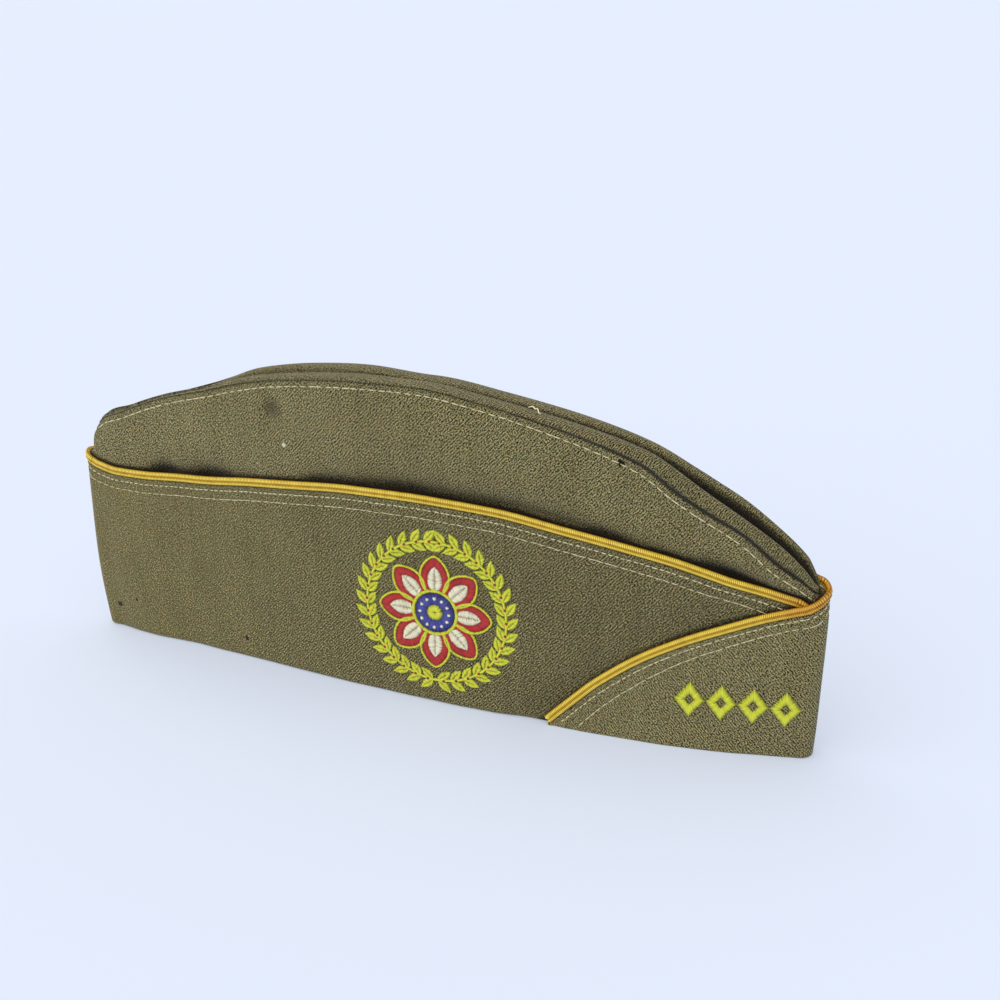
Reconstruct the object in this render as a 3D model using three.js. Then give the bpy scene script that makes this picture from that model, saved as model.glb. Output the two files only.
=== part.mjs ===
// Garrison cap: a flat sewn cap of wool serge with a turned-up curtain, gold braid and raised embroidery.
// Lengths are in millimetres. +X is the front, -Y is the wearer's right and the rim rests on z = 0.

import * as THREE from "three";

// Overall form
const CAP_LENGTH = 293.6; // end to end along the braid
const END_FLARE = 1.8; // how far each end leans out between the rim and the braid
const RIM_LENGTH = CAP_LENGTH - 2 * END_FLARE; // end to end where the rim rests
const RIM_SHIFT = 1; // how much further forward the rim lies than the braid
const FLARE_HEIGHT = 36; // the ends lean out up to here
const CAP_WIDTH = 27; // across the curtain at its widest
const END_RADIUS = 4; // rounding of the curtain's ends, seen from above
const RIM_TUCK = 2; // how far the rim is pressed in or flares out
const CURTAIN_HEIGHT = 79.2; // rim to braid at the highest place
const CROWN_HEIGHT = 120.8; // rim to side seam at the highest place
const SEAM_WIDTH = 18.4; // between the two side seams at the widest
const CREST_SHARE = 0.64; // spacing of the two crests as a share of the spacing of the seams
const ROLL_RISE = 7.1; // height of a roll above its seam where it is fullest
const GROOVE_DEPTH = 9; // depth of the groove between the rolls
const FAR_LEAN = 4.2; // how much higher the left side of the crown stands at the front
const FAR_EDGE_LIFT = 5.5; // how much higher the left curtain stands at the front
const CROWN_SETBACK = 4; // front tip of the curtain to front tip of the crown
const CROWN_BACK_LEAN = 7; // how far the crown's back end leans forward at its top
const BACK_STEP = 0.33; // the share of that lean right above the braid
const STEP_LEVEL = 0.06; // where that share is reached, as a share of the height from the braid to the seam
const BACK_LEAN_REACH = 40; // back end of the cap to where that lean has ended
const STANDOFF = 4.5; // widest opening between the crown and the braid
const CROWN_PUFF = 3; // how far the crown's side bulges out again above that opening
const PUFF_LEVEL = 0.28; // where it is fullest, as a share of the height from the braid to the seam

// Cloth, gaps and the lap
const CURTAIN_WALL = 1.4;
const CROWN_WALL = 1.2;
const CLEARANCE = 0.3;
const LAP_REACH = 94.3; // front tip to the lap's end on the rim
const LAP_END_HEIGHT = 1; // height of the lap's edge at its end
const TUCKED_END = 12.6; // front tip to the end of the right curtain, under the lap
const LAP_FADE = 12; // the right curtain dips under the lap over this distance
const LAP_EASE = 8; // the crown dips this much earlier

// Braid
const BRAID_HEIGHT = 3.3;
const BRAID_THICKNESS = 2;
const BRAID_WAIST = 0.3; // how deep the valley between its two ribs is, as a share of its thickness
const BRAID_SIDES = 10; // flat faces round its section

// Embroidery
const BADGE_RADIUS = 32;
const BADGE_FROM_TIP = 138.2;
const BADGE_HEIGHT = 37.5;
const PETAL_RADIUS = 23;
const PETAL_COUNT = 8;
const PETAL_NOTCH = 0.24; // depth of the notches between the petals, as a share of their radius
const PETAL_ROUNDNESS = 0.7; // exponent of the petals' outline: the less, the blunter
const LEAF_COUNT = 24;
const LEAF_NOTCH = 0.07; // depth of the notches between the leaf tips, as a share of the badge's radius
const CENTER_RADIUS = 8;
const CENTER_RING = 0.45; // the inner ring of points of the centre, as a share of its radius
const THREAD_THICKNESS = 0.9;
const PAD_SLOPE = 0.15; // width of a pad's sloping edge, as a share of the pad
const LOZENGE_COUNT = 4;
const LOZENGE_WIDTH = 10.6;
const LOZENGE_HEIGHT = 13.5;
const LOZENGE_STROKE = 2.8;
const LOZENGE_SLOPE = 0.2; // width of the stroke's sloping edges, as a share of the stroke
const LOZENGE_FROM_TIP = 10.7; // front tip to the middle of the last lozenge
const LOZENGE_PITCH = 10.9;
const LOZENGE_MIDDLE = 19.4; // height of their middles above the rim

// The curtain from back to front. at is the place along the cap's length, and the other columns are shares:
// bulge of the half width beyond the end radius, tuck of the rim tuck (negative where the rim flares out) and
// edge of the curtain's height.
const CURTAIN = [
  { at: 0, bulge: 0, tuck: 0, edge: 0.925 },
  { at: 0.025, bulge: 0.105, tuck: 0.7, edge: 0.886 },
  { at: 0.06, bulge: 0.232, tuck: 0.4, edge: 0.871 },
  { at: 0.1, bulge: 0.263, tuck: 0, edge: 0.873 },
  { at: 0.15, bulge: 0.263, tuck: 0, edge: 0.886 },
  { at: 0.2, bulge: 0.337, tuck: -0.2, edge: 0.9 },
  { at: 0.27, bulge: 0.516, tuck: -0.2, edge: 0.934 },
  { at: 0.34, bulge: 0.716, tuck: -0.2, edge: 0.965 },
  { at: 0.42, bulge: 0.895, tuck: -0.2, edge: 0.992 },
  { at: 0.5, bulge: 0.968, tuck: -0.4, edge: 1 },
  { at: 0.6, bulge: 1, tuck: -0.6, edge: 0.99 },
  { at: 0.7, bulge: 0.947, tuck: -0.9, edge: 0.942 },
  { at: 0.78, bulge: 0.811, tuck: -1.2, edge: 0.896 },
  { at: 0.82, bulge: 0.726, tuck: -1.2, edge: 0.868 },
  { at: 0.85, bulge: 0.611, tuck: -1.2, edge: 0.838 },
  { at: 0.9, bulge: 0.432, tuck: -1.05, edge: 0.788 },
  { at: 0.94, bulge: 0.263, tuck: -0.7, edge: 0.747 },
  { at: 0.97, bulge: 0.147, tuck: -0.3, edge: 0.72 },
  { at: 0.984, bulge: 0.075, tuck: -0.1, edge: 0.707 },
  { at: 1, bulge: 0, tuck: 0, edge: 0.695 },
];

// The crown from back to front: seam is a share of the seam's half width beyond its end radius, ridge of the
// crown's height, rise of the roll's rise, lean of the far side's lean and groove of the groove's depth.
const CROWN = [
  { at: 0, seam: 0, ridge: 0.72, rise: 0.05, lean: 0.1, groove: 0 },
  { at: 0.025, seam: 0.13, ridge: 0.758, rise: 0.05, lean: 0.1, groove: 0.12 },
  { at: 0.06, seam: 0.275, ridge: 0.784, rise: 0.05, lean: -0.05, groove: 0.3 },
  { at: 0.1, seam: 0.27, ridge: 0.821, rise: 0.05, lean: -0.2, groove: 0.35 },
  { at: 0.15, seam: 0.3, ridge: 0.863, rise: 0.05, lean: -0.3, groove: 0.4 },
  { at: 0.2, seam: 0.42, ridge: 0.896, rise: 0.1, lean: -0.1, groove: 0.45 },
  { at: 0.27, seam: 0.623, ridge: 0.946, rise: 0.25, lean: 0.2, groove: 0.6 },
  { at: 0.34, seam: 0.826, ridge: 0.977, rise: 0.25, lean: 0.12, groove: 0.75 },
  { at: 0.42, seam: 0.971, ridge: 0.995, rise: 0.27, lean: -0.1, groove: 0.85 },
  { at: 0.5, seam: 1, ridge: 1, rise: 0.2, lean: -0.45, groove: 0.9 },
  { at: 0.6, seam: 1, ridge: 0.968, rise: 0.22, lean: -0.4, groove: 0.9 },
  { at: 0.7, seam: 0.928, ridge: 0.912, rise: 0.42, lean: -0.26, groove: 0.9 },
  { at: 0.78, seam: 0.797, ridge: 0.844, rise: 0.7, lean: -0.17, groove: 0.95 },
  { at: 0.82, seam: 0.725, ridge: 0.776, rise: 0.97, lean: 0.12, groove: 1 },
  { at: 0.85, seam: 0.652, ridge: 0.733, rise: 0.9, lean: 0.45, groove: 1 },
  { at: 0.9, seam: 0.522, ridge: 0.671, rise: 0.72, lean: 0.69, groove: 1 },
  { at: 0.94, seam: 0.362, ridge: 0.594, rise: 0.95, lean: 0.62, groove: 1 },
  { at: 0.97, seam: 0.1, ridge: 0.545, rise: 0.65, lean: 0.85, groove: 0.85 },
  { at: 0.984, seam: 0.04, ridge: 0.521, rise: 0.35, lean: 0.4, groove: 0.5 },
  { at: 1, seam: 0, ridge: 0.5, rise: 0.1, lean: 0.2, groove: 0.1 },
];

// The waves of the crown above the braid: where it stands off from the curtain and where it touches
const WAVES = [
  { at: 0.0, gap: 0.0 },
  { at: 0.09, gap: 0.05 },
  { at: 0.125, gap: 0.75 },
  { at: 0.165, gap: 0.4 },
  { at: 0.2, gap: 0.75 },
  { at: 0.25, gap: 0.35 },
  { at: 0.3, gap: 0.1 },
  { at: 0.34, gap: 0.35 },
  { at: 0.4, gap: 0.75 },
  { at: 0.5, gap: 1.0 },
  { at: 0.65, gap: 1.0 },
  { at: 0.74, gap: 0.7 },
  { at: 0.82, gap: 0.3 },
  { at: 0.86, gap: 0.25 },
  { at: 0.89, gap: 0.5 },
  { at: 0.93, gap: 0.2 },
  { at: 0.96, gap: 0.0 },
  { at: 1.0, gap: 0.0 },
];

// The left curtain's edge stands higher towards the front than the right one's
const FAR_EDGE = [
  { at: 0.0, lift: 0.0 },
  { at: 0.78, lift: 0.0 },
  { at: 0.85, lift: 0.47 },
  { at: 0.9, lift: 0.85 },
  { at: 0.94, lift: 1.15 },
  { at: 0.97, lift: 1.35 },
  { at: 0.985, lift: 1.35 },
  { at: 1.0, lift: 1.05 },
];

// The lap's edge from the front tip down to the rim: at is a share of its reach and height a share of its
// height at the tip
const LAP = [
  { at: 0, height: 1 },
  { at: 0.023, height: 0.962 },
  { at: 0.057, height: 0.925 },
  { at: 0.108, height: 0.898 },
  { at: 0.214, height: 0.838 },
  { at: 0.352, height: 0.747 },
  { at: 0.5, height: 0.637 },
  { at: 0.649, height: 0.499 },
  { at: 0.798, height: 0.317 },
  { at: 0.871, height: 0.206 },
  { at: 0.954, height: 0.074 },
  { at: 1, height: 0 },
  { at: 1.15, height: -0.2 },
  { at: 1.45, height: -0.5 },
];

// Half of the gusset's section, from the side seam to the bottom of the groove: out is a share of the seam's
// half width, up of the roll's rise and down of the groove's depth
const ROLL = [
  { out: 1, up: 0, down: 0 },
  { out: 1.1, up: 0.4, down: 0 },
  { out: 0.98, up: 0.82, down: 0 },
  { out: CREST_SHARE, up: 1, down: 0 },
  { out: 0.34, up: 0.93, down: 0.06 },
  { out: 0.12, up: 0.75, down: 0.4 },
  { out: 0, up: 0.6, down: 1 },
];

const NEAR = -1;
const FAR = 1;

// How finely the surfaces are divided: steps from one end of the cap to the other, and the heights of the
// rows of points as shares of the curtain, of the crown up to the braid and of the crown above it
const LENGTH_STEPS = 34;
const CURTAIN_ROWS = [0, 0.3, 0.6, 0.85, 1];
const CROWN_LOWER_ROWS = [0, 0.35, 0.7, 1];
const CROWN_UPPER_ROWS = [0.33, 0.67, 1];
const TURN_STEP = 0.002; // distance along an outline over which its direction is taken

// A smooth curve through one column of a table, which never overshoots its rows
function column(rows, name) {
  const x = rows.map((row) => row.at);
  const y = rows.map((row) => row[name]);
  const slope = x.slice(1).map((next, i) => (y[i + 1] - y[i]) / (next - x[i]));
  const tangent = y.map((_, i) => {
    const before = slope[Math.max(i - 1, 0)];
    const after = slope[Math.min(i, slope.length - 1)];
    return before * after <= 0 ? 0 : (2 * before * after) / (before + after);
  });
  return (place) => {
    const at = THREE.MathUtils.clamp(place, x[0], x[x.length - 1]);
    const i = Math.max(0, x.findIndex((next, k) => k > 0 && at <= next) - 1);
    const step = x[i + 1] - x[i];
    const u = (at - x[i]) / step;
    const v = 1 - u;
    return (
      y[i] * (1 + 2 * u) * v * v +
      step * tangent[i] * u * v * v +
      y[i + 1] * u * u * (3 - 2 * u) -
      step * tangent[i + 1] * u * u * v
    );
  };
}

const bulgeAt = column(CURTAIN, "bulge");
const tuckAt = column(CURTAIN, "tuck");
const edgeAt = column(CURTAIN, "edge");
const seamAt = column(CROWN, "seam");
const ridgeAt = column(CROWN, "ridge");
const riseAt = column(CROWN, "rise");
const leanAt = column(CROWN, "lean");
const grooveAt = column(CROWN, "groove");
const gapAt = column(WAVES, "gap");
const liftAt = column(FAR_EDGE, "lift");
const lapAt = column(LAP, "height");

// The rounded end of a plan outline: 0 at the very end and 1 from the radius on
function endShare(distance, radius) {
  const u = THREE.MathUtils.clamp(distance / radius, 0, 1);
  return Math.sqrt(1 - (1 - u) ** 2);
}

function alongX(place, z) {
  const rise = Math.min(z / FLARE_HEIGHT, 1);
  const flare = 1 - (1 - RIM_LENGTH / CAP_LENGTH) * (1 - rise) ** 2;
  return (place - 0.5) * CAP_LENGTH * flare + RIM_SHIFT * (1 - rise) ** 2;
}

function edgeHeight(side, place) {
  const lift = side === FAR ? FAR_EDGE_LIFT * liftAt(place) : 0;
  return CURTAIN_HEIGHT * edgeAt(place) + lift;
}

// Height of the lap's edge on the near side, negative where the lap has ended
function lapHeight(place) {
  return edgeHeight(FAR, 1) * lapAt(((1 - place) * CAP_LENGTH) / LAP_REACH);
}

// Half width of the curtain's outer face before its ends are rounded
function fullHalf(place, z) {
  const above = 1 - Math.min(z / edgeHeight(NEAR, place), 1);
  const bulge = (CAP_WIDTH / 2 - END_RADIUS) * bulgeAt(place);
  return END_RADIUS + bulge - RIM_TUCK * tuckAt(place) * above ** 2;
}

// How far the right curtain and the crown inside it give way to the lap
const LAP_STEP = CURTAIN_WALL + 2 * CLEARANCE;
const BRAID_ROOM = 2 * (BRAID_HEIGHT + CLEARANCE);
const TUCKED_PLACE = 1 - TUCKED_END / CAP_LENGTH;

function underLap(place, z) {
  const below = lapHeight(place) + BRAID_ROOM - z;
  return LAP_STEP * THREE.MathUtils.smoothstep(below, -LAP_FADE, 0);
}

// Points of an outline that runs from the back seam (turn 0) along the left side to the front tip (turn 1)
// and along the right side to the back seam again (turn 2)
function turnPlace(turn, from = 0, to = 1) {
  return from + ((to - from) * (1 - Math.cos(Math.PI * turn))) / 2;
}

function turnSide(turn) {
  return Math.sin(Math.PI * turn) >= 0 ? FAR : NEAR;
}

function outwardPoint(outline, turn, z, outward) {
  const point = outline(turn, z);
  const ahead = outline(turn + TURN_STEP, z);
  const behind = outline(turn - TURN_STEP, z);
  const length = Math.hypot(ahead.x - behind.x, ahead.y - behind.y);
  const normal = new THREE.Vector3(-(ahead.y - behind.y) / length, (ahead.x - behind.x) / length, 0);
  const seam = CLEARANCE / 2;
  const moved = point.addScaledVector(normal, outward);
  if (turn < 0.5) moved.y = Math.max(moved.y, seam);
  if (turn > 1.5) moved.y = Math.min(moved.y, -seam);
  return moved;
}

function curtainOutline(dips) {
  return (turn, z) => {
    const place = turnPlace(turn);
    const side = turnSide(turn);
    const ends = CAP_LENGTH * Math.min(place, 1 - place);
    const rounded = END_RADIUS * (endShare(ends, END_RADIUS) - 1);
    const dip = dips && side === NEAR ? underLap(place, z) : 0;
    return new THREE.Vector3(alongX(place, z), side * (fullHalf(place, z) + rounded - dip), z);
  };
}

// The crown stands inside the curtain, leans away from it towards the braid and bulges out again to its seam
const CROWN_INSET = CURTAIN_WALL + CLEARANCE;
const CROWN_END_RADIUS = END_RADIUS - CROWN_INSET;
const CROWN_BACK = CROWN_INSET / CAP_LENGTH;
const CROWN_FRONT = 1 - CROWN_SETBACK / CAP_LENGTH;

function seamHeight(side, place) {
  const lean = side === FAR ? FAR_LEAN * leanAt(place) : 0;
  return CROWN_HEIGHT * ridgeAt(place) + lean;
}

function seamHalf(place) {
  return CROWN_END_RADIUS + (SEAM_WIDTH / 2 - CROWN_END_RADIUS) * seamAt(place);
}

// The crown's side is free above the braid's top
function braidTop(place) {
  return edgeHeight(NEAR, place) + CLEARANCE + BRAID_HEIGHT;
}

// The crown gives way to the right curtain a little earlier than the curtain does to the lap
function crownDip(place, z) {
  const past = THREE.MathUtils.smoothstep(place, TUCKED_PLACE + LAP_EASE / 2 / CAP_LENGTH, CROWN_FRONT);
  return underLap(place + LAP_EASE / CAP_LENGTH, z - LAP_EASE) * (1 - past);
}

function crownHalf(side, place, z) {
  const free = braidTop(place);
  const low = Math.min(z, free);
  const dip = side === NEAR ? crownDip(place, low) : 0;
  const inside = fullHalf(place, low) - dip - CROWN_INSET - STANDOFF * gapAt(place) * (low / free) ** 2;
  const upper = THREE.MathUtils.clamp((z - free) / (seamHeight(side, place) - free), 0, 1);
  const puff = (upper / PUFF_LEVEL) * Math.exp(1 - upper / PUFF_LEVEL) * (1 - upper ** 4);
  const plain = THREE.MathUtils.lerp(inside, seamHalf(place), Math.sin((upper * Math.PI) / 2));
  return plain + CROWN_PUFF * gapAt(place) * puff;
}

// The crown's back end stands back from the braid and leans forward towards its top
function crownX(side, place, z) {
  const free = braidTop(place);
  const upper = THREE.MathUtils.clamp((z - free) / (seamHeight(side, place) - free), 0, 1);
  const near = Math.max(1 - (place * CAP_LENGTH) / BACK_LEAN_REACH, 0);
  const lean = BACK_STEP * Math.min(upper / STEP_LEVEL, 1) + (1 - BACK_STEP) * upper ** 3;
  return alongX(place, z) + CROWN_BACK_LEAN * lean * near ** 2;
}

function crownPoint(side, place, z) {
  const ends = CAP_LENGTH * Math.min(place - CROWN_BACK, CROWN_FRONT - place);
  const rounded = CROWN_END_RADIUS * (endShare(ends, CROWN_END_RADIUS) - 1);
  return new THREE.Vector3(crownX(side, place, z), side * (crownHalf(side, place, z) + rounded), z);
}

// A closed cloth wall from rows of matching outer and inner points, one row for each station
function clothWall(stations) {
  const width = stations[0].outer.length;
  const loop = 2 * width;
  const position = [];
  const index = [];
  for (const { outer, inner } of stations) {
    for (const point of outer) position.push(point.x, point.y, point.z);
    for (const point of inner.toReversed()) position.push(point.x, point.y, point.z);
  }
  const quad = (a, b, c, d) => index.push(a, b, c, a, c, d);
  for (let i = 0; i + 1 < stations.length; i++) {
    for (let k = 0; k < loop; k++) {
      const next = (k + 1) % loop;
      quad(i * loop + k, i * loop + next, (i + 1) * loop + next, (i + 1) * loop + k);
    }
  }
  const last = (stations.length - 1) * loop;
  for (let k = 0; k + 1 < width; k++) {
    const mate = loop - 1 - k;
    quad(k, mate, mate - 1, k + 1);
    quad(last + k, last + k + 1, last + mate - 1, last + mate);
  }
  return outwardGeometry(position, index);
}

// A tube of closed rings, with flat ends or joined end to end
function ringBody(rings, closed) {
  const count = rings[0].length;
  const position = rings.flat().flatMap((point) => [point.x, point.y, point.z]);
  const index = [];
  const last = closed ? rings.length : rings.length - 1;
  for (let i = 0; i < last; i++) {
    const next = ((i + 1) % rings.length) * count;
    for (let k = 0; k < count; k++) {
      const m = (k + 1) % count;
      index.push(i * count + k, i * count + m, next + m, i * count + k, next + m, next + k);
    }
  }
  for (let k = 1; !closed && k + 1 < count; k++) {
    const end = (rings.length - 1) * count;
    index.push(0, k + 1, k, end, end + k, end + k + 1);
  }
  return outwardGeometry(position, index);
}

// A raised pad from a middle point and rings that grow from it, on the top and underneath
function padBody(middleTop, topRings, bottomRings, middleBottom) {
  const rings = [...topRings, ...bottomRings];
  const count = rings[0].length;
  const points = [...rings.flat(), middleTop, middleBottom];
  const position = points.flatMap((point) => [point.x, point.y, point.z]);
  const top = rings.length * count;
  const lastRing = (rings.length - 1) * count;
  const index = [];
  for (let k = 0; k < count; k++) {
    const m = (k + 1) % count;
    index.push(top, m, k, top + 1, lastRing + k, lastRing + m);
    for (let i = 0; i + 1 < rings.length; i++) {
      const a = i * count;
      const b = a + count;
      index.push(a + k, a + m, b + m, a + k, b + m, b + k);
    }
  }
  return outwardGeometry(position, index);
}

// Turns the faces outwards, whichever way round the points were listed
function outwardGeometry(position, index) {
  const point = (i) => new THREE.Vector3().fromArray(position, 3 * i);
  let volume = 0;
  for (let i = 0; i < index.length; i += 3) {
    volume += point(index[i]).dot(point(index[i + 1]).cross(point(index[i + 2])));
  }
  if (volume < 0) index.reverse();
  const geometry = new THREE.BufferGeometry();
  geometry.setAttribute("position", new THREE.Float32BufferAttribute(position, 3));
  geometry.setIndex(index);
  geometry.computeVertexNormals();
  return geometry;
}

// Turns from one end of a piece to the other, evenly spaced
function turnsBetween(from, to) {
  const count = Math.ceil(Math.abs(to - from) * LENGTH_STEPS);
  return Array.from({ length: count + 1 }, (_, i) => from + ((to - from) * i) / count);
}

// The turn on the near side that lies at a place along the length
function nearTurn(place) {
  return 2 - Math.acos(1 - 2 * place) / Math.PI;
}

function curtainHeight(turn) {
  const place = turnPlace(turn);
  if (turn <= 1) return edgeHeight(FAR, place);
  return Math.max(lapHeight(place), LAP_END_HEIGHT);
}

function curtainBody(outline, turns, height) {
  const stations = turns.map((turn) => {
    const rows = CURTAIN_ROWS.map((share) => share * height(turn));
    return {
      outer: rows.map((z) => outwardPoint(outline, turn, z, 0)),
      inner: rows.map((z) => outwardPoint(outline, turn, z, -CURTAIN_WALL)),
    };
  });
  return clothWall(stations);
}

const LAP_END_TURN = nearTurn(1 - LAP_REACH / CAP_LENGTH);
const rightTurns = turnsBetween(2, nearTurn(TUCKED_PLACE));
const leftTurns = turnsBetween(0, LAP_END_TURN);
const rightOutline = curtainOutline(true);
const leftOutline = curtainOutline(false);
const rightHeight = (turn) => edgeHeight(NEAR, turnPlace(turn));

function crownSideBody(side) {
  const turns = turnsBetween(0, 1);
  const outline = (turn, z) => {
    const place = turnPlace(turn, CROWN_BACK, CROWN_FRONT);
    const point = crownPoint(side, place, z);
    return point.setY(Math.abs(point.y) * turnSide(turn));
  };
  const stations = turns.map((turn) => {
    const place = turnPlace(turn, CROWN_BACK, CROWN_FRONT);
    const free = braidTop(place);
    const top = seamHeight(side, place);
    const lower = CROWN_LOWER_ROWS.map((share) => share * free);
    const upper = CROWN_UPPER_ROWS.map((share) => free + share * (top - free));
    const rows = [...lower, ...upper];
    const wall = (z, outward) => {
      const point = outwardPoint(outline, turn, z, outward);
      point.y = Math.max(point.y, CLEARANCE / 2) * side;
      return point;
    };
    return { outer: rows.map((z) => wall(z, 0)), inner: rows.map((z) => wall(z, -CROWN_WALL)) };
  });
  return clothWall(stations);
}

// One section of the gusset, from the near seam over the near roll, through the groove and over the far roll
function gussetSection(place) {
  const half = Math.abs(crownPoint(NEAR, place, seamHeight(NEAR, place)).y);
  const rise = ROLL_RISE * riseAt(place);
  const groove = GROOVE_DEPTH * grooveAt(place);
  const middle = (seamHeight(NEAR, place) + seamHeight(FAR, place)) / 2;
  const rollPoint = (side, row) => {
    const base = THREE.MathUtils.lerp(seamHeight(side, place), middle, row.down);
    const z = base + CLEARANCE + rise * row.up - groove * row.down;
    return new THREE.Vector3(crownX(side, place, z), side * half * row.out, z);
  };
  const near = ROLL.map((row) => rollPoint(NEAR, row));
  const far = ROLL.slice(0, -1).map((row) => rollPoint(FAR, row));
  return [...near, ...far.toReversed()];
}

const GROOVE_ROOM = 0.4; // the share of the room inside the crown that the cloth along the groove takes
const THIN_END = 0.2; // the gusset's wall at its pointed ends, as a share of its wall elsewhere

function gussetBody() {
  const turns = turnsBetween(0, 1).slice(1, -1);
  const stations = turns.map((turn) => {
    const outer = gussetSection(turnPlace(turn, CROWN_BACK, CROWN_FRONT));
    const half = Math.abs(outer[0].y);
    const room = Math.max(half - CROWN_WALL - CLEARANCE, CLEARANCE / 2);
    const wall = CROWN_WALL * THREE.MathUtils.clamp(half / CROWN_WALL - 1, THIN_END, 1);
    const inner = outer.map((point, i) => {
      const ahead = outer[Math.min(i + 1, outer.length - 1)];
      const behind = outer[Math.max(i - 1, 0)];
      const length = Math.hypot(ahead.y - behind.y, ahead.z - behind.z);
      const y = point.y + (wall * (ahead.z - behind.z)) / length;
      const z = point.z - (wall * (ahead.y - behind.y)) / length;
      const limit = room * THREE.MathUtils.lerp(GROOVE_ROOM, 1, Math.abs(point.y) / half);
      return new THREE.Vector3(point.x, point.y === 0 ? 0 : THREE.MathUtils.clamp(y, -limit, limit), z);
    });
    return { outer, inner };
  });
  return clothWall(stations);
}

// The braid's section stands on the curtain's edge: two rounded ribs with a valley between them
function braidBody(outline, turns, height) {
  const edge = (turn) => outwardPoint(outline, turn, height(turn), -CURTAIN_WALL / 2);
  const rings = turns.map((turn) => {
    const at = edge(turn);
    const outward = outwardPoint(outline, turn, height(turn), 0).sub(at).normalize();
    const before = edge(THREE.MathUtils.clamp(turn - 2 * TURN_STEP, 0, 2));
    const tangent = edge(THREE.MathUtils.clamp(turn + 2 * TURN_STEP, 0, 2)).sub(before).normalize();
    const up = new THREE.Vector3().crossVectors(tangent, outward).normalize();
    if (up.z < 0) up.negate();
    return Array.from({ length: BRAID_SIDES }, (_, k) => {
      const angle = (2 * Math.PI * k) / BRAID_SIDES;
      const waist = 1 - BRAID_WAIST * Math.sin(angle) ** 4;
      const across = (BRAID_THICKNESS / 2) * Math.sin(angle) * waist;
      const proud = (BRAID_THICKNESS - CURTAIN_WALL) / 2;
      const along = CLEARANCE + (BRAID_HEIGHT / 2) * (1 - Math.cos(angle));
      return at.clone().addScaledVector(up, along).addScaledVector(outward, across + proud);
    });
  });
  return ringBody(rings, false);
}

// Points on the embroidery's ground, lifted off the cloth: x forward, z up
function onSurface(outline, x, z, lift) {
  const place = (x - alongX(0, z)) / (alongX(1, z) - alongX(0, z));
  return outwardPoint(outline, nearTurn(place), z, lift);
}

const BADGE_X = CAP_LENGTH / 2 - BADGE_FROM_TIP;
const BADGE_POINTS = 72;

function badgePoint(radius, angle, lift) {
  const x = BADGE_X + radius * Math.sin(angle);
  const z = BADGE_HEIGHT + radius * Math.cos(angle);
  return onSurface(rightOutline, x, z, lift);
}

const badgeAngles = Array.from({ length: BADGE_POINTS }, (_, i) => (2 * Math.PI * i) / BADGE_POINTS);
const lowLift = CLEARANCE;
const topLift = CLEARANCE + THREAD_THICKNESS;

// The outline of the rosette: rounded petals
function petalEdge(angle) {
  const tip = Math.abs(Math.cos((PETAL_COUNT / 2) * angle)) ** PETAL_ROUNDNESS;
  return PETAL_RADIUS * (1 - PETAL_NOTCH * (1 - tip));
}

// The outline of the wreath: leaf tips
function leafEdge(angle) {
  const tip = Math.abs(Math.cos((LEAF_COUNT / 2) * angle));
  return BADGE_RADIUS * (1 - LEAF_NOTCH * (1 - tip));
}

const wreathInside = () => PETAL_RADIUS + CLEARANCE;
const petalsInside = () => CENTER_RADIUS + CLEARANCE;

function badgeRing(innerEdge, outerEdge) {
  const rings = badgeAngles.map((angle) => {
    const inner = innerEdge(angle);
    const outer = outerEdge(angle);
    const section = [
      [inner, lowLift],
      [outer, lowLift],
      [THREE.MathUtils.lerp(inner, outer, 1 - PAD_SLOPE), topLift],
      [THREE.MathUtils.lerp(inner, outer, PAD_SLOPE), topLift],
    ];
    return section.map(([radius, lift]) => badgePoint(radius, angle, lift));
  });
  return ringBody(rings, true);
}

function badgeCenterBody() {
  const angles = badgeAngles.filter((_, i) => i % 3 === 0);
  const ring = (share, lift) => angles.map((angle) => badgePoint(CENTER_RADIUS * share, angle, lift));
  const top = [ring(CENTER_RING, topLift), ring(1 - PAD_SLOPE, topLift)];
  const bottom = [ring(1, lowLift), ring(CENTER_RING, lowLift)];
  return padBody(badgePoint(0, 0, topLift), top, bottom, badgePoint(0, 0, lowLift));
}

// A hollow lozenge sewn on the lap
function lozengeBody(number) {
  const fromTip = LOZENGE_FROM_TIP + (LOZENGE_COUNT - number) * LOZENGE_PITCH;
  const middle = CAP_LENGTH / 2 - fromTip;
  const eighths = [0, 1, 2, 3, 4, 5, 6, 7].map((i) => (2 * Math.PI * i) / 8);
  const corners = eighths.map((angle) => {
    const reach = Math.abs(Math.sin(angle)) + Math.abs(Math.cos(angle));
    return [Math.sin(angle) / reach, Math.cos(angle) / reach];
  });
  const toSide = (LOZENGE_WIDTH * LOZENGE_HEIGHT) / Math.hypot(LOZENGE_WIDTH, LOZENGE_HEIGHT) / 2;
  const hole = 1 - LOZENGE_STROKE / toSide;
  const rings = corners.map(([right, up]) => {
    const point = (share, lift) => {
      const x = middle + (LOZENGE_WIDTH / 2) * right * share;
      const z = LOZENGE_MIDDLE + (LOZENGE_HEIGHT / 2) * up * share;
      return onSurface(leftOutline, x, z, lift);
    };
    const slope = (1 - hole) * LOZENGE_SLOPE;
    const low = [point(hole, lowLift), point(1, lowLift)];
    const top = [point(1 - slope, topLift), point(hole + slope, topLift)];
    return [...low, ...top];
  });
  return ringBody(rings, true);
}

function clothMaterial(color) {
  return new THREE.MeshStandardMaterial({ color, roughness: 0.95, metalness: 0 });
}

function threadMaterial(color) {
  return new THREE.MeshStandardMaterial({ color, roughness: 0.55, metalness: 0 });
}

const serge = () => clothMaterial("#706a4d");
const goldBraid = () => threadMaterial("#d8b02a");
const yellowThread = () => threadMaterial("#c8cd28");
const redThread = () => threadMaterial("#b3242a");
const blueThread = () => threadMaterial("#2f3488");

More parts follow.
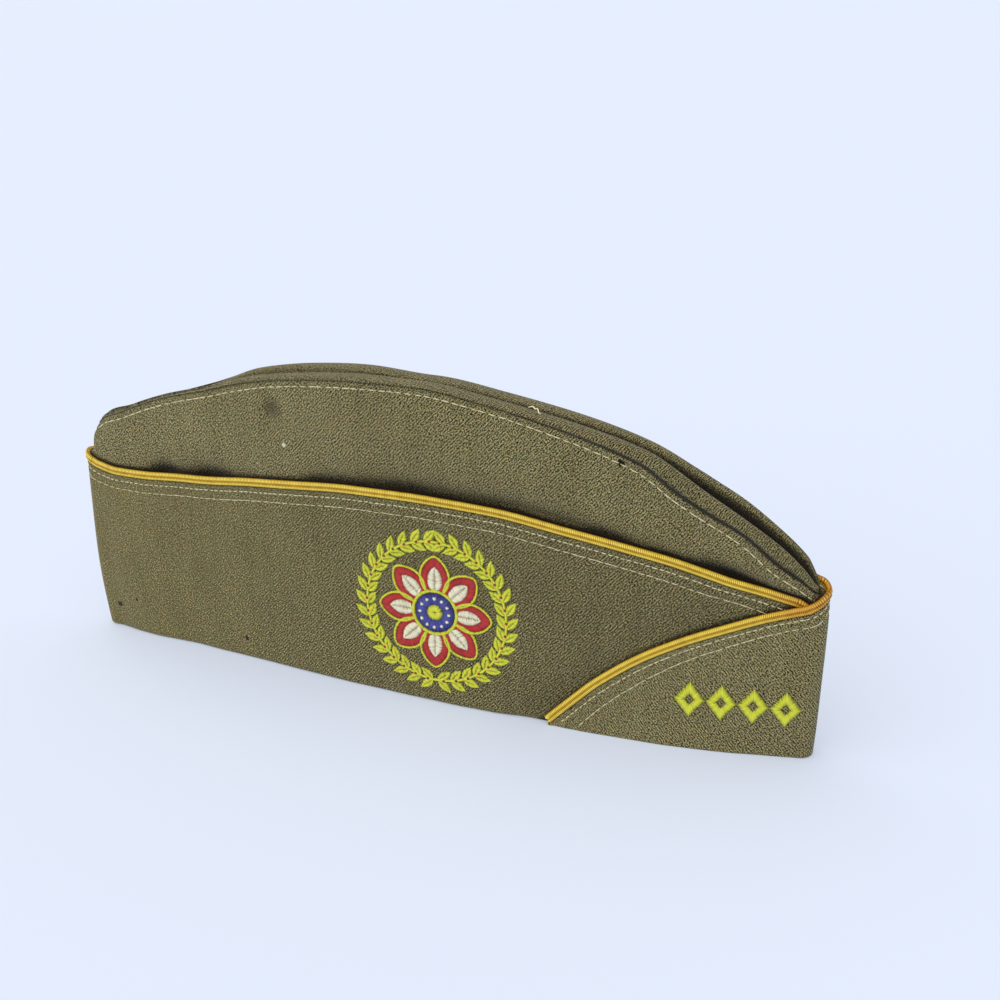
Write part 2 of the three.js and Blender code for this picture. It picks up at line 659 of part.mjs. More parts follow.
const PIECES = [
  { name: "crown_side_right", geometry: crownSideBody(NEAR), material: serge() },
  { name: "crown_side_left", geometry: crownSideBody(FAR), material: serge() },
  { name: "crown_top", geometry: gussetBody(), material: serge() },
  { name: "curtain_right", geometry: curtainBody(rightOutline, rightTurns, rightHeight), material: serge() },
  { name: "curtain_left", geometry: curtainBody(leftOutline, leftTurns, curtainHeight), material: serge() },
  { name: "braid_right", geometry: braidBody(rightOutline, rightTurns, rightHeight), material: goldBraid() },
  { name: "braid_left", geometry: braidBody(leftOutline, leftTurns, curtainHeight), material: goldBraid() },
  { name: "badge_wreath", geometry: badgeRing(wreathInside, leafEdge), material: yellowThread() },
  { name: "badge_petals", geometry: badgeRing(petalsInside, petalEdge), material: redThread() },
  { name: "badge_center", geometry: badgeCenterBody(), material: blueThread() },
];
for (let number = 1; number <= LOZENGE_COUNT; number++) {
  PIECES.push({ name: `lozenge_${number}`, geometry: lozengeBody(number), material: yellowThread() });
}

const cap = new THREE.Group();
for (const { name, geometry, material } of PIECES) {
  const mesh = new THREE.Mesh(geometry, material);
  mesh.name = name;
  cap.add(mesh);
}

// The origin is under the middle of the cap, on the surface that it rests on
const box = new THREE.Box3().setFromObject(cap);
cap.position.set(-(box.min.x + box.max.x) / 2, -(box.min.y + box.max.y) / 2, -box.min.z);

export default cap;
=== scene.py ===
import math

import bpy
import numpy as np
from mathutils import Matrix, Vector


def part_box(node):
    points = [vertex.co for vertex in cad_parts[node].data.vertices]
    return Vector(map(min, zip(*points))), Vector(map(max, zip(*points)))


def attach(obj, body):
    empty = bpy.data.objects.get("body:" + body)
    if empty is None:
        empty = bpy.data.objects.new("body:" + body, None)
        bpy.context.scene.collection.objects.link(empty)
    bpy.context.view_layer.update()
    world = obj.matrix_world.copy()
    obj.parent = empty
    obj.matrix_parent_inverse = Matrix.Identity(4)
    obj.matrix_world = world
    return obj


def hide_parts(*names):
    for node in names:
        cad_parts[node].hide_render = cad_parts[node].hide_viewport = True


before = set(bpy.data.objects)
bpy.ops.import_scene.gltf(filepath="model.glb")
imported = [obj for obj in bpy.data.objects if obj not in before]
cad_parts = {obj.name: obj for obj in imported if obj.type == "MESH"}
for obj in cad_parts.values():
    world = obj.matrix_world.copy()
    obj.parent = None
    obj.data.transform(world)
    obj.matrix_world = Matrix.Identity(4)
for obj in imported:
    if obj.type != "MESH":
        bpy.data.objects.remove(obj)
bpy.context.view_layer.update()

MM = 0.001

# Overall form
CAP_LENGTH = 293.6
END_FLARE = 1.8
RIM_LENGTH = CAP_LENGTH - 2 * END_FLARE
RIM_SHIFT = 1
FLARE_HEIGHT = 36
CAP_WIDTH = 27
END_RADIUS = 4
RIM_TUCK = 2
CURTAIN_HEIGHT = 79.2
CROWN_HEIGHT = 120.8
SEAM_WIDTH = 18.4
CREST_SHARE = 0.64
ROLL_RISE = 7.1
GROOVE_DEPTH = 9
FAR_LEAN = 4.2
FAR_EDGE_LIFT = 5.5
CROWN_SETBACK = 4
CROWN_BACK_LEAN = 7
BACK_STEP = 0.33
BACK_LEAN_REACH = 40
STANDOFF = 4.5
CROWN_PUFF = 3
PUFF_LEVEL = 0.28
STEP_LEVEL = 0.06

# Cloth, gaps and the lap
CURTAIN_WALL = 1.4
CROWN_WALL = 1.2
CLEARANCE = 0.3
LAP_REACH = 94.3
LAP_END_HEIGHT = 1
TUCKED_END = 12.6
LAP_FADE = 12
LAP_EASE = 8
HIDDEN_END = 6.5  # how far from the tip the right curtain ends, under the lap
HIDDEN_FADE = 11
HIDDEN_DROP = 1.4

# Braid
BRAID_HEIGHT = 3.3
BRAID_THICKNESS = 2
BRAID_SIDES = 22
RIB_PITCH = 0.66
RIB_STEPS = 5
RIB_DEPTH = 0.08
RIB_SLANT = 0.35  # how far a rib leans over the height of the braid, in pitches
WORN_FROM_TO = (120, 142)  # places along the cap between which the braid turns brown

# Embroidery
BADGE_RADIUS = 32
BADGE_FROM_TIP = 138.2
BADGE_HEIGHT = 37.5
PETAL_RADIUS = 23
CENTER_RADIUS = 8
THREAD_WIDTH = 0.46
LOZENGE_COUNT = 4
LOZENGE_WIDTH = 10.6
LOZENGE_HEIGHT = 13.5
LOZENGE_STROKE = 2.8
LOZENGE_FROM_TIP = 10.7
LOZENGE_PITCH = 10.9
LOZENGE_MIDDLE = 19.4

# Stitch rows, measured from the edge of the cloth
CURTAIN_ROWS = (2.1, 5.6)
ROW_SINK = 0.28
ROW_HALF = 0.55
CURTAIN_STITCHES = ((2.3, 0.72, 0.36), (3.0, 0.88, 0.28))  # pitch, share that shows and width of each row
CROWN_STITCH = (3.5, 0.82, 0.36)

# Shade on the cloth
LAP_SHADE = 0.75
LAP_SHADE_REACH = 1.3
POCKET_DROP = 2.2  # how far behind the braid the shade starts where the crown stands off most

NEAR = -1
FAR = 1


def table(names, *rows):
    """Rows of a table by the names of its columns."""
    return [dict(zip(names.split(), row)) for row in rows]


# The curtain from back to front; every column but the place along the cap is a share, as in the part's source
CURTAIN = table(
    "at bulge tuck edge",
    (0, 0, 0, 0.925), (0.025, 0.105, 0.7, 0.886), (0.06, 0.232, 0.4, 0.871), (0.1, 0.263, 0, 0.873),
    (0.15, 0.263, 0, 0.886), (0.2, 0.337, -0.2, 0.9), (0.27, 0.516, -0.2, 0.934), (0.34, 0.716, -0.2, 0.965),
    (0.42, 0.895, -0.2, 0.992), (0.5, 0.968, -0.4, 1), (0.6, 1, -0.6, 0.99), (0.7, 0.947, -0.9, 0.942),
    (0.78, 0.811, -1.2, 0.896), (0.82, 0.726, -1.2, 0.868), (0.85, 0.611, -1.2, 0.838),
    (0.9, 0.432, -1.05, 0.788), (0.94, 0.263, -0.7, 0.747), (0.97, 0.147, -0.3, 0.72),
    (0.984, 0.075, -0.1, 0.707), (1, 0, 0, 0.695),
)

# The crown from back to front
CROWN = table(
    "at seam ridge rise lean groove",
    (0, 0, 0.72, 0.05, 0.1, 0), (0.025, 0.13, 0.758, 0.05, 0.1, 0.12), (0.06, 0.275, 0.784, 0.05, -0.05, 0.3),
    (0.1, 0.27, 0.821, 0.05, -0.2, 0.35), (0.15, 0.3, 0.863, 0.05, -0.3, 0.4),
    (0.2, 0.42, 0.896, 0.1, -0.1, 0.45), (0.27, 0.623, 0.946, 0.25, 0.2, 0.6),
    (0.34, 0.826, 0.977, 0.25, 0.12, 0.75), (0.42, 0.971, 0.995, 0.27, -0.1, 0.85),
    (0.5, 1, 1, 0.2, -0.45, 0.9), (0.6, 1, 0.968, 0.22, -0.4, 0.9), (0.7, 0.928, 0.912, 0.42, -0.26, 0.9),
    (0.78, 0.797, 0.844, 0.7, -0.17, 0.95), (0.82, 0.725, 0.776, 0.97, 0.12, 1),
    (0.85, 0.652, 0.733, 0.9, 0.45, 1), (0.9, 0.522, 0.671, 0.72, 0.69, 1),
    (0.94, 0.362, 0.594, 0.95, 0.62, 1), (0.97, 0.1, 0.545, 0.65, 0.85, 0.85),
    (0.984, 0.04, 0.521, 0.35, 0.4, 0.5), (1, 0, 0.5, 0.1, 0.2, 0.1),
)

# Where the crown stands off from the curtain
WAVES = table(
    "at gap",
    (0, 0), (0.09, 0.05), (0.125, 0.75), (0.165, 0.4), (0.2, 0.75), (0.25, 0.35), (0.3, 0.1), (0.34, 0.35),
    (0.4, 0.75), (0.5, 1.0), (0.65, 1.0), (0.74, 0.7), (0.82, 0.3), (0.86, 0.25), (0.89, 0.5), (0.93, 0.2),
    (0.96, 0.0), (1.0, 0.0),
)

# How high the shade behind the braid reaches up the crown, in millimetres
POCKETS = table(
    "at reach",
    (0.0, 0.5), (0.1, 0.8), (0.125, 4.4), (0.16, 1.6), (0.2, 3.6), (0.24, 0.8), (0.33, 0.8), (0.37, 2.4),
    (0.44, 2.0), (0.48, 3.4), (0.53, 1.8), (0.6, 1.6), (0.65, 0.8), (0.7, 0.8), (0.735, 2.6), (0.78, 0.6),
    (0.83, 0.9), (0.87, 3.4), (0.91, 1.0), (0.95, 0.6), (1.0, 0.5),
)

# How much higher the left curtain stands than the right one
FAR_EDGE = table(
    "at lift",
    (0, 0), (0.78, 0), (0.85, 0.47), (0.9, 0.85), (0.94, 1.15), (0.97, 1.35), (0.985, 1.35), (1, 1.05),
)

# The lap's edge from the front tip down to the rim, as shares of its reach and of its height at the tip
LAP = table(
    "at height",
    (0, 1), (0.023, 0.962), (0.057, 0.925), (0.108, 0.898), (0.214, 0.838), (0.352, 0.747), (0.5, 0.637),
    (0.649, 0.499), (0.798, 0.317), (0.871, 0.206), (0.954, 0.074), (1, 0), (1.15, -0.2), (1.45, -0.5),
)

# Half of the gusset's section, from the side seam to the bottom of the groove
ROLL = table(
    "at out up down",
    (0, 1, 0, 0), (1, 1.1, 0.4, 0), (2, 0.98, 0.82, 0), (3, CREST_SHARE, 1, 0),
    (4, 0.34, 0.93, 0.06), (5, 0.12, 0.75, 0.4), (6, 0, 0.6, 1),
)

# Depths of the lap's two stitch rows under its edge, in millimetres, along the near side
LAP_STITCHES = table(
    "at first second",
    (0.0, 1.6, 5.0), (0.67, 2.0, 7.2), (0.78, 1.9, 6.4), (0.85, 1.6, 5.2), (0.93, 1.4, 4.5), (1.0, 1.4, 4.4)
)

# Depth of the crown's stitch row under its seam, in millimetres
TOPSTITCH = table(
    "at depth", (0, 2.8), (0.05, 2.4), (0.6, 2.4), (0.72, 2.5), (0.84, 2.3), (0.9, 2.7), (0.95, 2.8), (1, 2.4)
)


def column(rows, name):
    """A smooth curve through one column of a table, which never overshoots its rows."""
    x = np.array([row["at"] for row in rows], float)
    y = np.array([row[name] for row in rows], float)
    slope = np.diff(y) / np.diff(x)
    before = np.concatenate([slope[:1], slope])
    after = np.concatenate([slope, slope[-1:]])
    same = before * after > 0
    tangent = np.where(same, 2 * before * after / np.where(same, before + after, 1), 0)

    def curve(place):
        at = np.clip(place, x[0], x[-1])
        i = np.clip(np.searchsorted(x, at) - 1, 0, len(x) - 2)
        step = x[i + 1] - x[i]
        u = (at - x[i]) / step
        v = 1 - u
        value = y[i] * (1 + 2 * u) * v * v + y[i + 1] * u * u * (3 - 2 * u)
        return value + step * u * v * (tangent[i] * v - tangent[i + 1] * u)

    return curve


bulge_at, tuck_at, edge_at = (column(CURTAIN, name) for name in ("bulge", "tuck", "edge"))
seam_at, ridge_at, rise_at = (column(CROWN, name) for name in ("seam", "ridge", "rise"))
lean_at, groove_at = (column(CROWN, name) for name in ("lean", "groove"))
gap_at = column(WAVES, "gap")
reach_at = column(POCKETS, "reach")
lift_at = column(FAR_EDGE, "lift")
lap_at = column(LAP, "height")
out_at, up_at, down_at = (column(ROLL, name) for name in ("out", "up", "down"))
depth_at = column(TOPSTITCH, "depth")
first_at, second_at = (column(LAP_STITCHES, name) for name in ("first", "second"))


def smoothstep(value, low, high):
    t = np.clip((value - low) / (high - low), 0, 1)
    return t * t * (3 - 2 * t)


def lerp(a, b, share):
    return a + (b - a) * share


def bump(value, middle, half):
    return np.exp(-(((value - middle) / half) ** 2))


def end_rounding(distance, radius):
    """How far a rounded end is drawn in, at a distance from its tip."""
    u = np.clip(distance / radius, 0, 1)
    return radius * (np.sqrt(1 - (1 - u) ** 2) - 1)


def unit(vectors, least=0.0):
    return vectors / np.maximum(np.linalg.norm(vectors, axis=-1, keepdims=True), least)


def length_along(line):
    """Distance from the start of a line, or of each of a row of lines, to each of its points."""
    steps = np.linalg.norm(np.diff(line, axis=0), axis=-1)
    return np.concatenate([np.zeros_like(steps[:1]), np.cumsum(steps, axis=0)])


def along_x(place, z):
    rise = np.clip(z / FLARE_HEIGHT, 0, 1)
    flare = 1 - (1 - RIM_LENGTH / CAP_LENGTH) * (1 - rise) ** 2
    return (place - 0.5) * CAP_LENGTH * flare + RIM_SHIFT * (1 - rise) ** 2


def edge_height(side, place):
    lift = FAR_EDGE_LIFT * lift_at(place) if side == FAR else 0
    return CURTAIN_HEIGHT * edge_at(place) + lift


def lap_height(place):
    return edge_height(FAR, 1.0) * lap_at((1 - place) * CAP_LENGTH / LAP_REACH)


def full_half(place, z):
    above = 1 - np.clip(z / edge_height(NEAR, place), 0, 1)
    return END_RADIUS + (CAP_WIDTH / 2 - END_RADIUS) * bulge_at(place) - RIM_TUCK * tuck_at(place) * above**2


LAP_STEP = CURTAIN_WALL + 2 * CLEARANCE
BRAID_ROOM = 2 * (BRAID_HEIGHT + CLEARANCE)
TUCKED_PLACE = 1 - TUCKED_END / CAP_LENGTH


def under_lap(place, z):
    return LAP_STEP * smoothstep(lap_height(place) + BRAID_ROOM - z, -LAP_FADE, 0)


TURN_STEP = 0.002
SEAM_GAP = 0.04


def turn_place(turn, low=0.0, high=1.0):
    return low + (high - low) * (1 - np.cos(np.pi * turn)) / 2


def crown_place(turn):
    return turn_place(turn, CROWN_BACK, CROWN_FRONT)


def near_turn(place):
    return 2 - np.arccos(np.clip(1 - 2 * place, -1, 1)) / np.pi


def turn_side(turn):
    return np.where(np.sin(np.pi * turn) >= 0, FAR, NEAR)


def outward(outline, turn, z, offset):
    """Points on an outline, moved along its normal in plan."""
    turn, z, offset = np.broadcast_arrays(turn, z, offset)
    x, y = outline(turn, z)
    ahead = outline(turn + TURN_STEP, z)
    behind = outline(turn - TURN_STEP, z)
    dx, dy = ahead[0] - behind[0], ahead[1] - behind[1]
    length = np.hypot(dx, dy)
    moved = y + dx / length * offset
    moved = np.where(turn < 0.5, np.maximum(moved, SEAM_GAP), moved)
    moved = np.where(turn > 1.5, np.minimum(moved, -SEAM_GAP), moved)
    return np.stack([x - dy / length * offset, moved, z], -1)


def curtain_outline(dips):
    def outline(turn, z):
        place = turn_place(turn)
        side = turn_side(turn)
        rounded = end_rounding(CAP_LENGTH * np.minimum(place, 1 - place), END_RADIUS)
        dip = np.where(side == NEAR, under_lap(place, z), 0) if dips else 0
        return along_x(place, z), side * (full_half(place, z) + rounded - dip)

    return outline


CROWN_INSET = CURTAIN_WALL + CLEARANCE
CROWN_END_RADIUS = END_RADIUS - CROWN_INSET
CROWN_BACK = CROWN_INSET / CAP_LENGTH
CROWN_FRONT = 1 - CROWN_SETBACK / CAP_LENGTH


def seam_height(side, place):
    lean = FAR_LEAN * lean_at(place) if side == FAR else 0
    return CROWN_HEIGHT * ridge_at(place) + lean


def seam_half(place):
    return CROWN_END_RADIUS + (SEAM_WIDTH / 2 - CROWN_END_RADIUS) * seam_at(place)


def braid_top(place):
    return edge_height(NEAR, place) + CLEARANCE + BRAID_HEIGHT


def above_braid(side, place, z):
    """Share of the way up the crown from the braid to the seam."""
    free = braid_top(place)
    return np.clip((z - free) / (seam_height(side, place) - free), 0, 1)


def crown_rounding(place):
    return end_rounding(CAP_LENGTH * np.minimum(place - CROWN_BACK, CROWN_FRONT - place), CROWN_END_RADIUS)


def crown_dip(place, z):
    past = smoothstep(place, TUCKED_PLACE + LAP_EASE / 2 / CAP_LENGTH, CROWN_FRONT)
    return under_lap(place + LAP_EASE / CAP_LENGTH, z - LAP_EASE) * (1 - past)


def crown_half(side, place, z):
    free = braid_top(place)
    low = np.minimum(z, free)
    dip = crown_dip(place, low) if side == NEAR else 0
    inside = full_half(place, low) - dip - CROWN_INSET - STANDOFF * gap_at(place) * (low / free) ** 2
    upper = above_braid(side, place, z)
    puff = upper / PUFF_LEVEL * np.exp(1 - upper / PUFF_LEVEL) * (1 - upper**4)
    return lerp(inside, seam_half(place), np.sin(upper * np.pi / 2)) + CROWN_PUFF * gap_at(place) * puff


def crown_x(side, place, z):
    upper = above_braid(side, place, z)
    near = np.maximum(1 - place * CAP_LENGTH / BACK_LEAN_REACH, 0)
    lean = BACK_STEP * np.minimum(upper / STEP_LEVEL, 1) + (1 - BACK_STEP) * upper**3
    return along_x(place, z) + CROWN_BACK_LEAN * lean * near**2


def crown_outline(side):
    def outline(turn, z):
        place = crown_place(turn)
        half = np.abs(crown_half(side, place, z) + crown_rounding(place))
        return crown_x(side, place, z), turn_side(turn) * half

    return outline


def unevenness(seed, count=7, shortest=24, longest=85):
    """Small unevenness of the cloth: a few long waves that don't repeat over the cap."""
    rng = np.random.default_rng(seed)
    angle = rng.uniform(0, np.pi, count)
    wave = 2 * np.pi / rng.uniform(shortest, longest, count)
    phase = rng.uniform(0, 2 * np.pi, count)

    def height(x, z):
        total = 0
        for a, w, p in zip(angle, wave, phase):
            total = total + np.sin(w * (x * np.cos(a) + z * np.sin(a)) + p)
        return total / count

    return height


BADGE_X = CAP_LENGTH / 2 - BADGE_FROM_TIP
LAP_END_TURN = float(near_turn(1 - LAP_REACH / CAP_LENGTH))
HIDDEN_PLACE = 1 - HIDDEN_END / CAP_LENGTH
HIDDEN_TURN = float(near_turn(HIDDEN_PLACE))


def right_height(turn):
    place = turn_place(turn)
    sunk = smoothstep(place, 1 - HIDDEN_FADE / CAP_LENGTH, HIDDEN_PLACE)
    return edge_height(NEAR, place) - HIDDEN_DROP * sunk


def left_height(turn):
    place = turn_place(turn)
    near = np.maximum(lap_height(place), LAP_END_HEIGHT)
    return np.where(turn <= 1, edge_height(FAR, place), near)


def steepness(outline, height, turn):
    """Cosine of the slope of an edge, so that distances from it are measured square to it."""
    step = 0.01
    low = outward(outline, turn - step, height(turn - step), 0)
    high = outward(outline, turn + step, height(turn + step), 0)
    return np.sqrt(np.clip(1 - unit(high - low, 1e-6)[..., 2] ** 2, 0.05, 1))


WAVE_SHIFT = 400  # sets the near side's waves apart from the far side's


class Panel:
    """A cloth surface with its relief: where a turn, a height and a lift off the cloth lie."""

    def __init__(self, outline, height, rows, seed, wave, side=None):
        self.outline, self.height, self.rows = outline, height, rows
        self.wave, self.side, self.uneven = wave, side, unevenness(seed)

    def relief(self, turn, z):
        x = turn_place(turn) * CAP_LENGTH
        down = (self.height(turn) - z) * steepness(self.outline, self.height, turn)
        total = self.wave * self.uneven(x + WAVE_SHIFT * (turn > 1), z)
        for row in self.rows:
            depth = row(turn) if callable(row) else row
            total = total - ROW_SINK * bump(down, depth, ROW_HALF)
        return total + self.extra(turn, x, z)

    def extra(self, turn, x, z):
        return 0

    def at(self, turn, z, lift=0.0):
        turn, z = np.broadcast_arrays(np.asarray(turn, float), np.asarray(z, float))
        points = outward(self.outline, turn, z, self.relief(turn, z) + lift)
        if self.side:
            points[..., 1] = self.side * np.maximum(points[..., 1], SEAM_GAP)
        return points

    def normal(self, turn, z):
        return unit(self.at(turn, z, 1.0) - self.at(turn, z, 0.0))


class RightCurtain(Panel):
    """The near curtain: the cloth round the badge is drawn in a little by its stitches."""

    def extra(self, turn, x, z):
        across = x - CAP_LENGTH / 2 - BADGE_X
        radius = np.hypot(across, z - BADGE_HEIGHT)
        angle = np.arctan2(z - BADGE_HEIGHT, across)
        pucker = 0.16 * np.sin(9 * angle + 1) * bump(radius, BADGE_RADIUS + 4, 5)
        return pucker - 0.25 * smoothstep(radius, BADGE_RADIUS + 6, BADGE_RADIUS - 4)


class CrownSide(Panel):
    """A side of the crown: its cloth is puffed between the seam and the braid, with soft dents."""

    def extra(self, turn, x, z):
        total = 0
        for place, level, wide, tall, depth in CROWN_DENTS:
            total = total - depth * bump(x / CAP_LENGTH, place, wide) * bump(z, level, tall)
        return total


# Dents of the crown: place along the cap, height, half width as a share of the length, half height and depth
CROWN_DENTS = (
    (0.302, 106, 0.012, 9, 0.9),
    (0.235, 92, 0.014, 12, 0.6),
    (0.13, 84, 0.012, 10, 0.7),
    (0.19, 82, 0.01, 8, 0.6),
    (0.45, 90, 0.03, 9, 0.5),
    (0.83, 72, 0.02, 6, 0.6),
)


def crown_height(side):
    return lambda turn: seam_height(side, crown_place(turn))


def topstitch_row(turn):
    return depth_at(crown_place(turn))


def lap_row(depth):
    """A stitch row of the left curtain, which follows the lap on the near side."""
    return lambda turn: np.where(turn > 1, depth(turn_place(turn)), depth(0.0))


LAP_ROWS = (lap_row(first_at), lap_row(second_at))
right = RightCurtain(curtain_outline(True), right_height, CURTAIN_ROWS, 11, 0.45)
left = Panel(curtain_outline(False), left_height, LAP_ROWS, 12, 0.4)
crown = {
    NEAR: CrownSide(crown_outline(NEAR), crown_height(NEAR), [topstitch_row], 21, 0.5, NEAR),
    FAR: CrownSide(crown_outline(FAR), crown_height(FAR), [topstitch_row], 22, 0.5, FAR),
}


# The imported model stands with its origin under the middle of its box, so it is a little off the cap's own
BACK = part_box("curtain_left")[0].x
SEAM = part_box("crown_side_left")[0].y
SHIFT = np.array([BACK + CAP_LENGTH / 2 * MM, SEAM - CLEARANCE / 2 * MM, 0])


def make_mesh(name, points, faces, slot, material, replaces=(), **attributes):
    """A piece of the cap from points in millimetres and lists of faces."""
    data = bpy.data.meshes.new(name)
    data.from_pydata((points * MM + SHIFT).tolist(), [], faces)
    data.shade_smooth()
    for key, values in attributes.items():
        kind, field = ("FLOAT_VECTOR", "vector") if values.ndim == 2 else ("FLOAT", "value")
        data.attributes.new(key, kind, "POINT").data.foreach_set(field, values.astype(np.float32).ravel())
    data.materials.append(material)
    piece = bpy.data.objects.new(name, data)
    bpy.context.scene.collection.objects.link(piece)
    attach(piece, "root")
    if replaces:
        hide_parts(*replaces)


def around(sides):
    return 2 * np.pi * np.arange(sides) / sides


def ring_faces(rows, columns):
    """Quads over rows of points, of which each is a closed ring."""
    i, k = (a.ravel() for a in np.meshgrid(np.arange(rows - 1), np.arange(columns), indexing="ij"))
    i, n = i * columns, (k + 1) % columns
    return np.stack([i + k, i + n, i + columns + n, i + columns + k], -1)


def outward_faces(points, faces):
    """Faces turned so that the body's volume is positive."""
    a, b, c, d = (points[faces[:, i]] for i in range(4))
    volume = np.einsum("ij,ij->", a, np.cross(b, c) + np.cross(c, d))
    return faces[:, ::-1] if volume < 0 else faces


def tube_faces(points, count, sides):
    """Faces of a tube with closed ends, turned outwards."""
    faces = outward_faces(points, ring_faces(count, sides))
    ends = [list(range(sides)), list(range((count - 1) * sides, count * sides))[::-1]]
    if np.array_equal(faces[0], ring_faces(2, sides)[0]):
        ends = [end[::-1] for end in ends]
    return faces.tolist() + ends


def both_faces(values):
    """An attribute of the outer face, given to the inner one too, in the order of wall_mesh's points."""
    return np.concatenate([values, values[:, ::-1]], axis=1).reshape(-1, *values.shape[2:])


def wall_mesh(name, outer, inner, material, replaces, spot, shade):
    """A closed cloth wall between matching outer and inner grids of points."""
    rows, columns = outer.shape[:2]
    points = np.concatenate([outer, inner[:, ::-1]], axis=1).reshape(-1, 3)
    k = np.arange(columns - 1)
    mate = 2 * columns - 1 - k
    end = (rows - 1) * 2 * columns
    first = np.stack([k, mate, mate - 1, k + 1], -1)
    last = np.stack([end + k, end + k + 1, end + mate - 1, end + mate], -1)
    faces = outward_faces(points, np.concatenate([ring_faces(rows, 2 * columns), first, last]))
    layers = {"cloth": cloth_place(outer), "spot": spot, "shade": shade}
    layers = {key: both_faces(values) for key, values in layers.items()}
    make_mesh(name, points, faces.tolist(), "serge", material, replaces, **layers)


OFF_SIDE = 1000  # keeps the marks of the near side off the far one


def spot_place(place, points):
    """Length from the middle of the cap, height and side, for the marks of wear, the holes drawn dark with
    painted shade, and the painted light along the cap.
    """
    side = np.where(points[..., 1] < 0, NEAR, OFF_SIDE)
    return np.stack([np.broadcast_to((place - 0.5) * CAP_LENGTH, side.shape), points[..., 2], side], -1)


def lap_shade(turn, z):
    """How dark the right curtain is along the lap's braid."""
    above = (z - lap_height(turn_place(turn)) - BRAID_HEIGHT) / LAP_SHADE_REACH
    return LAP_SHADE * np.exp(-np.maximum(above, 0) ** 1.3) * (turn > 1)


def no_shade(turn, z):
    return np.zeros_like(z)


def pocket_shade(turn, z):
    """How dark the crown is just above the braid, where it stands off from the curtain."""
    place = crown_place(turn)
    above = np.maximum(z - braid_top(place) + POCKET_DROP * gap_at(place), 0) / reach_at(place)
    return np.exp(-(above**1.2))


def cloth_place(points):
    """Length along the cloth and height on it, in millimetres, for the weave."""
    along = length_along(points).mean(axis=1)[:, None]
    height = length_along(points.swapaxes(0, 1)).T + points[:, :1, 2]
    return np.stack([np.broadcast_to(along, height.shape), height, np.zeros_like(height)], -1)


# Heights of the rows of points on a curtain: close together near its stitch rows, wider below
FINE_BAND = 9.5
FINE_ROWS = np.linspace(0, 1, 27)
COARSE_ROWS = np.linspace(0, 1, 34)[1:]
EDGE_ANGLES = np.radians([78, 52, 26])
STATIONS = 300  # for each end-to-end run of the cap


def turns_between(low, high):
    return np.linspace(low, high, int(abs(high - low) * STATIONS) + 1)


def rounded_edge(top, half):
    """Rows of a rounded edge: their heights, and how far in from the face they lie."""
    angles = EDGE_ANGLES[::-1]
    above = top[:, None] + half * np.sin(angles)
    return above, np.broadcast_to(half * (1 - np.cos(angles)), above.shape)


def curtain_rows(height, fold):
    """Heights from just above the fold up to just below the rounded edge, one row for each station."""
    edge = height - CURTAIN_WALL / 2
    band = np.minimum(FINE_BAND, 0.5 * (edge - fold))
    fine = edge[:, None] - band[:, None] * FINE_ROWS
    low = (edge - band)[:, None]
    coarse = low + (fold[:, None] - low) * COARSE_ROWS
    return np.concatenate([fine, coarse], axis=1)[:, ::-1]


def curtain_piece(name, panel, turns, fold, material, replaces, shadow):
    """A curtain: a wall with a rounded upper edge, turned in round the crown's wall at the rim."""
    height = panel.height(turns)
    rows = curtain_rows(height, fold)
    fold = fold[:, None]
    below = fold * (1 - np.sin(EDGE_ANGLES))
    below_in = fold * (1 - np.cos(EDGE_ANGLES))
    above, above_in = rounded_edge(height - CURTAIN_WALL / 2, CURTAIN_WALL / 2)
    z = np.concatenate([below, rows, above], axis=1)
    outer_in = np.concatenate([below_in, np.zeros_like(rows), above_in], axis=1)
    wall = np.full_like(rows, CURTAIN_WALL)
    wall[:, :1] = 2 * fold
    inner_in = np.concatenate([2 * fold - below_in, wall, CURTAIN_WALL - above_in], axis=1)
    turn = np.broadcast_to(turns[:, None], z.shape)
    outer = panel.at(turn, z, -outer_in)
    inner = outward(panel.outline, turn, z, -inner_in)
    wall_mesh(name, outer, inner, material, replaces, spot_place(turn_place(turn), outer), shadow(turn, z))


CROWN_LOW_ROWS = np.linspace(0, 1, 9)[:-1]
CROWN_HIGH_ROWS = np.linspace(0, 1, 40)
FOLD = (CURTAIN_WALL + CLEARANCE + CROWN_WALL) / 2
CROWN_FOOT = FOLD + 1.2
BEHIND_BRAID = 2  # how far below the braid the crown's fine rows begin


def crown_side_piece(name, side, material, replaces):
    panel = crown[side]
    turns = turns_between(0, 1)
    place = crown_place(turns)
    free = braid_top(place) - BRAID_HEIGHT - BEHIND_BRAID
    top = panel.height(turns) - CROWN_WALL / 2
    low = CROWN_FOOT + (free - CROWN_FOOT)[:, None] * CROWN_LOW_ROWS
    high = free[:, None] + (top - free)[:, None] * CROWN_HIGH_ROWS
    above, above_in = rounded_edge(top, CROWN_WALL / 2)
    rows = np.concatenate([low, high], axis=1)
    z = np.concatenate([rows, above], axis=1)
    outer_in = np.concatenate([np.zeros_like(rows), above_in], axis=1)
    turn = np.broadcast_to(turns[:, None], z.shape)
    outer = panel.at(turn, z, -outer_in)
    inner = outward(panel.outline, turn, z, outer_in - CROWN_WALL)
    inner[..., 1] = side * np.maximum(inner[..., 1], SEAM_GAP)
    spot = spot_place(place[:, None], outer)
    wall_mesh(name, outer, inner, material, replaces, spot, pocket_shade(turn, z))


ROLL_ROWS = 6


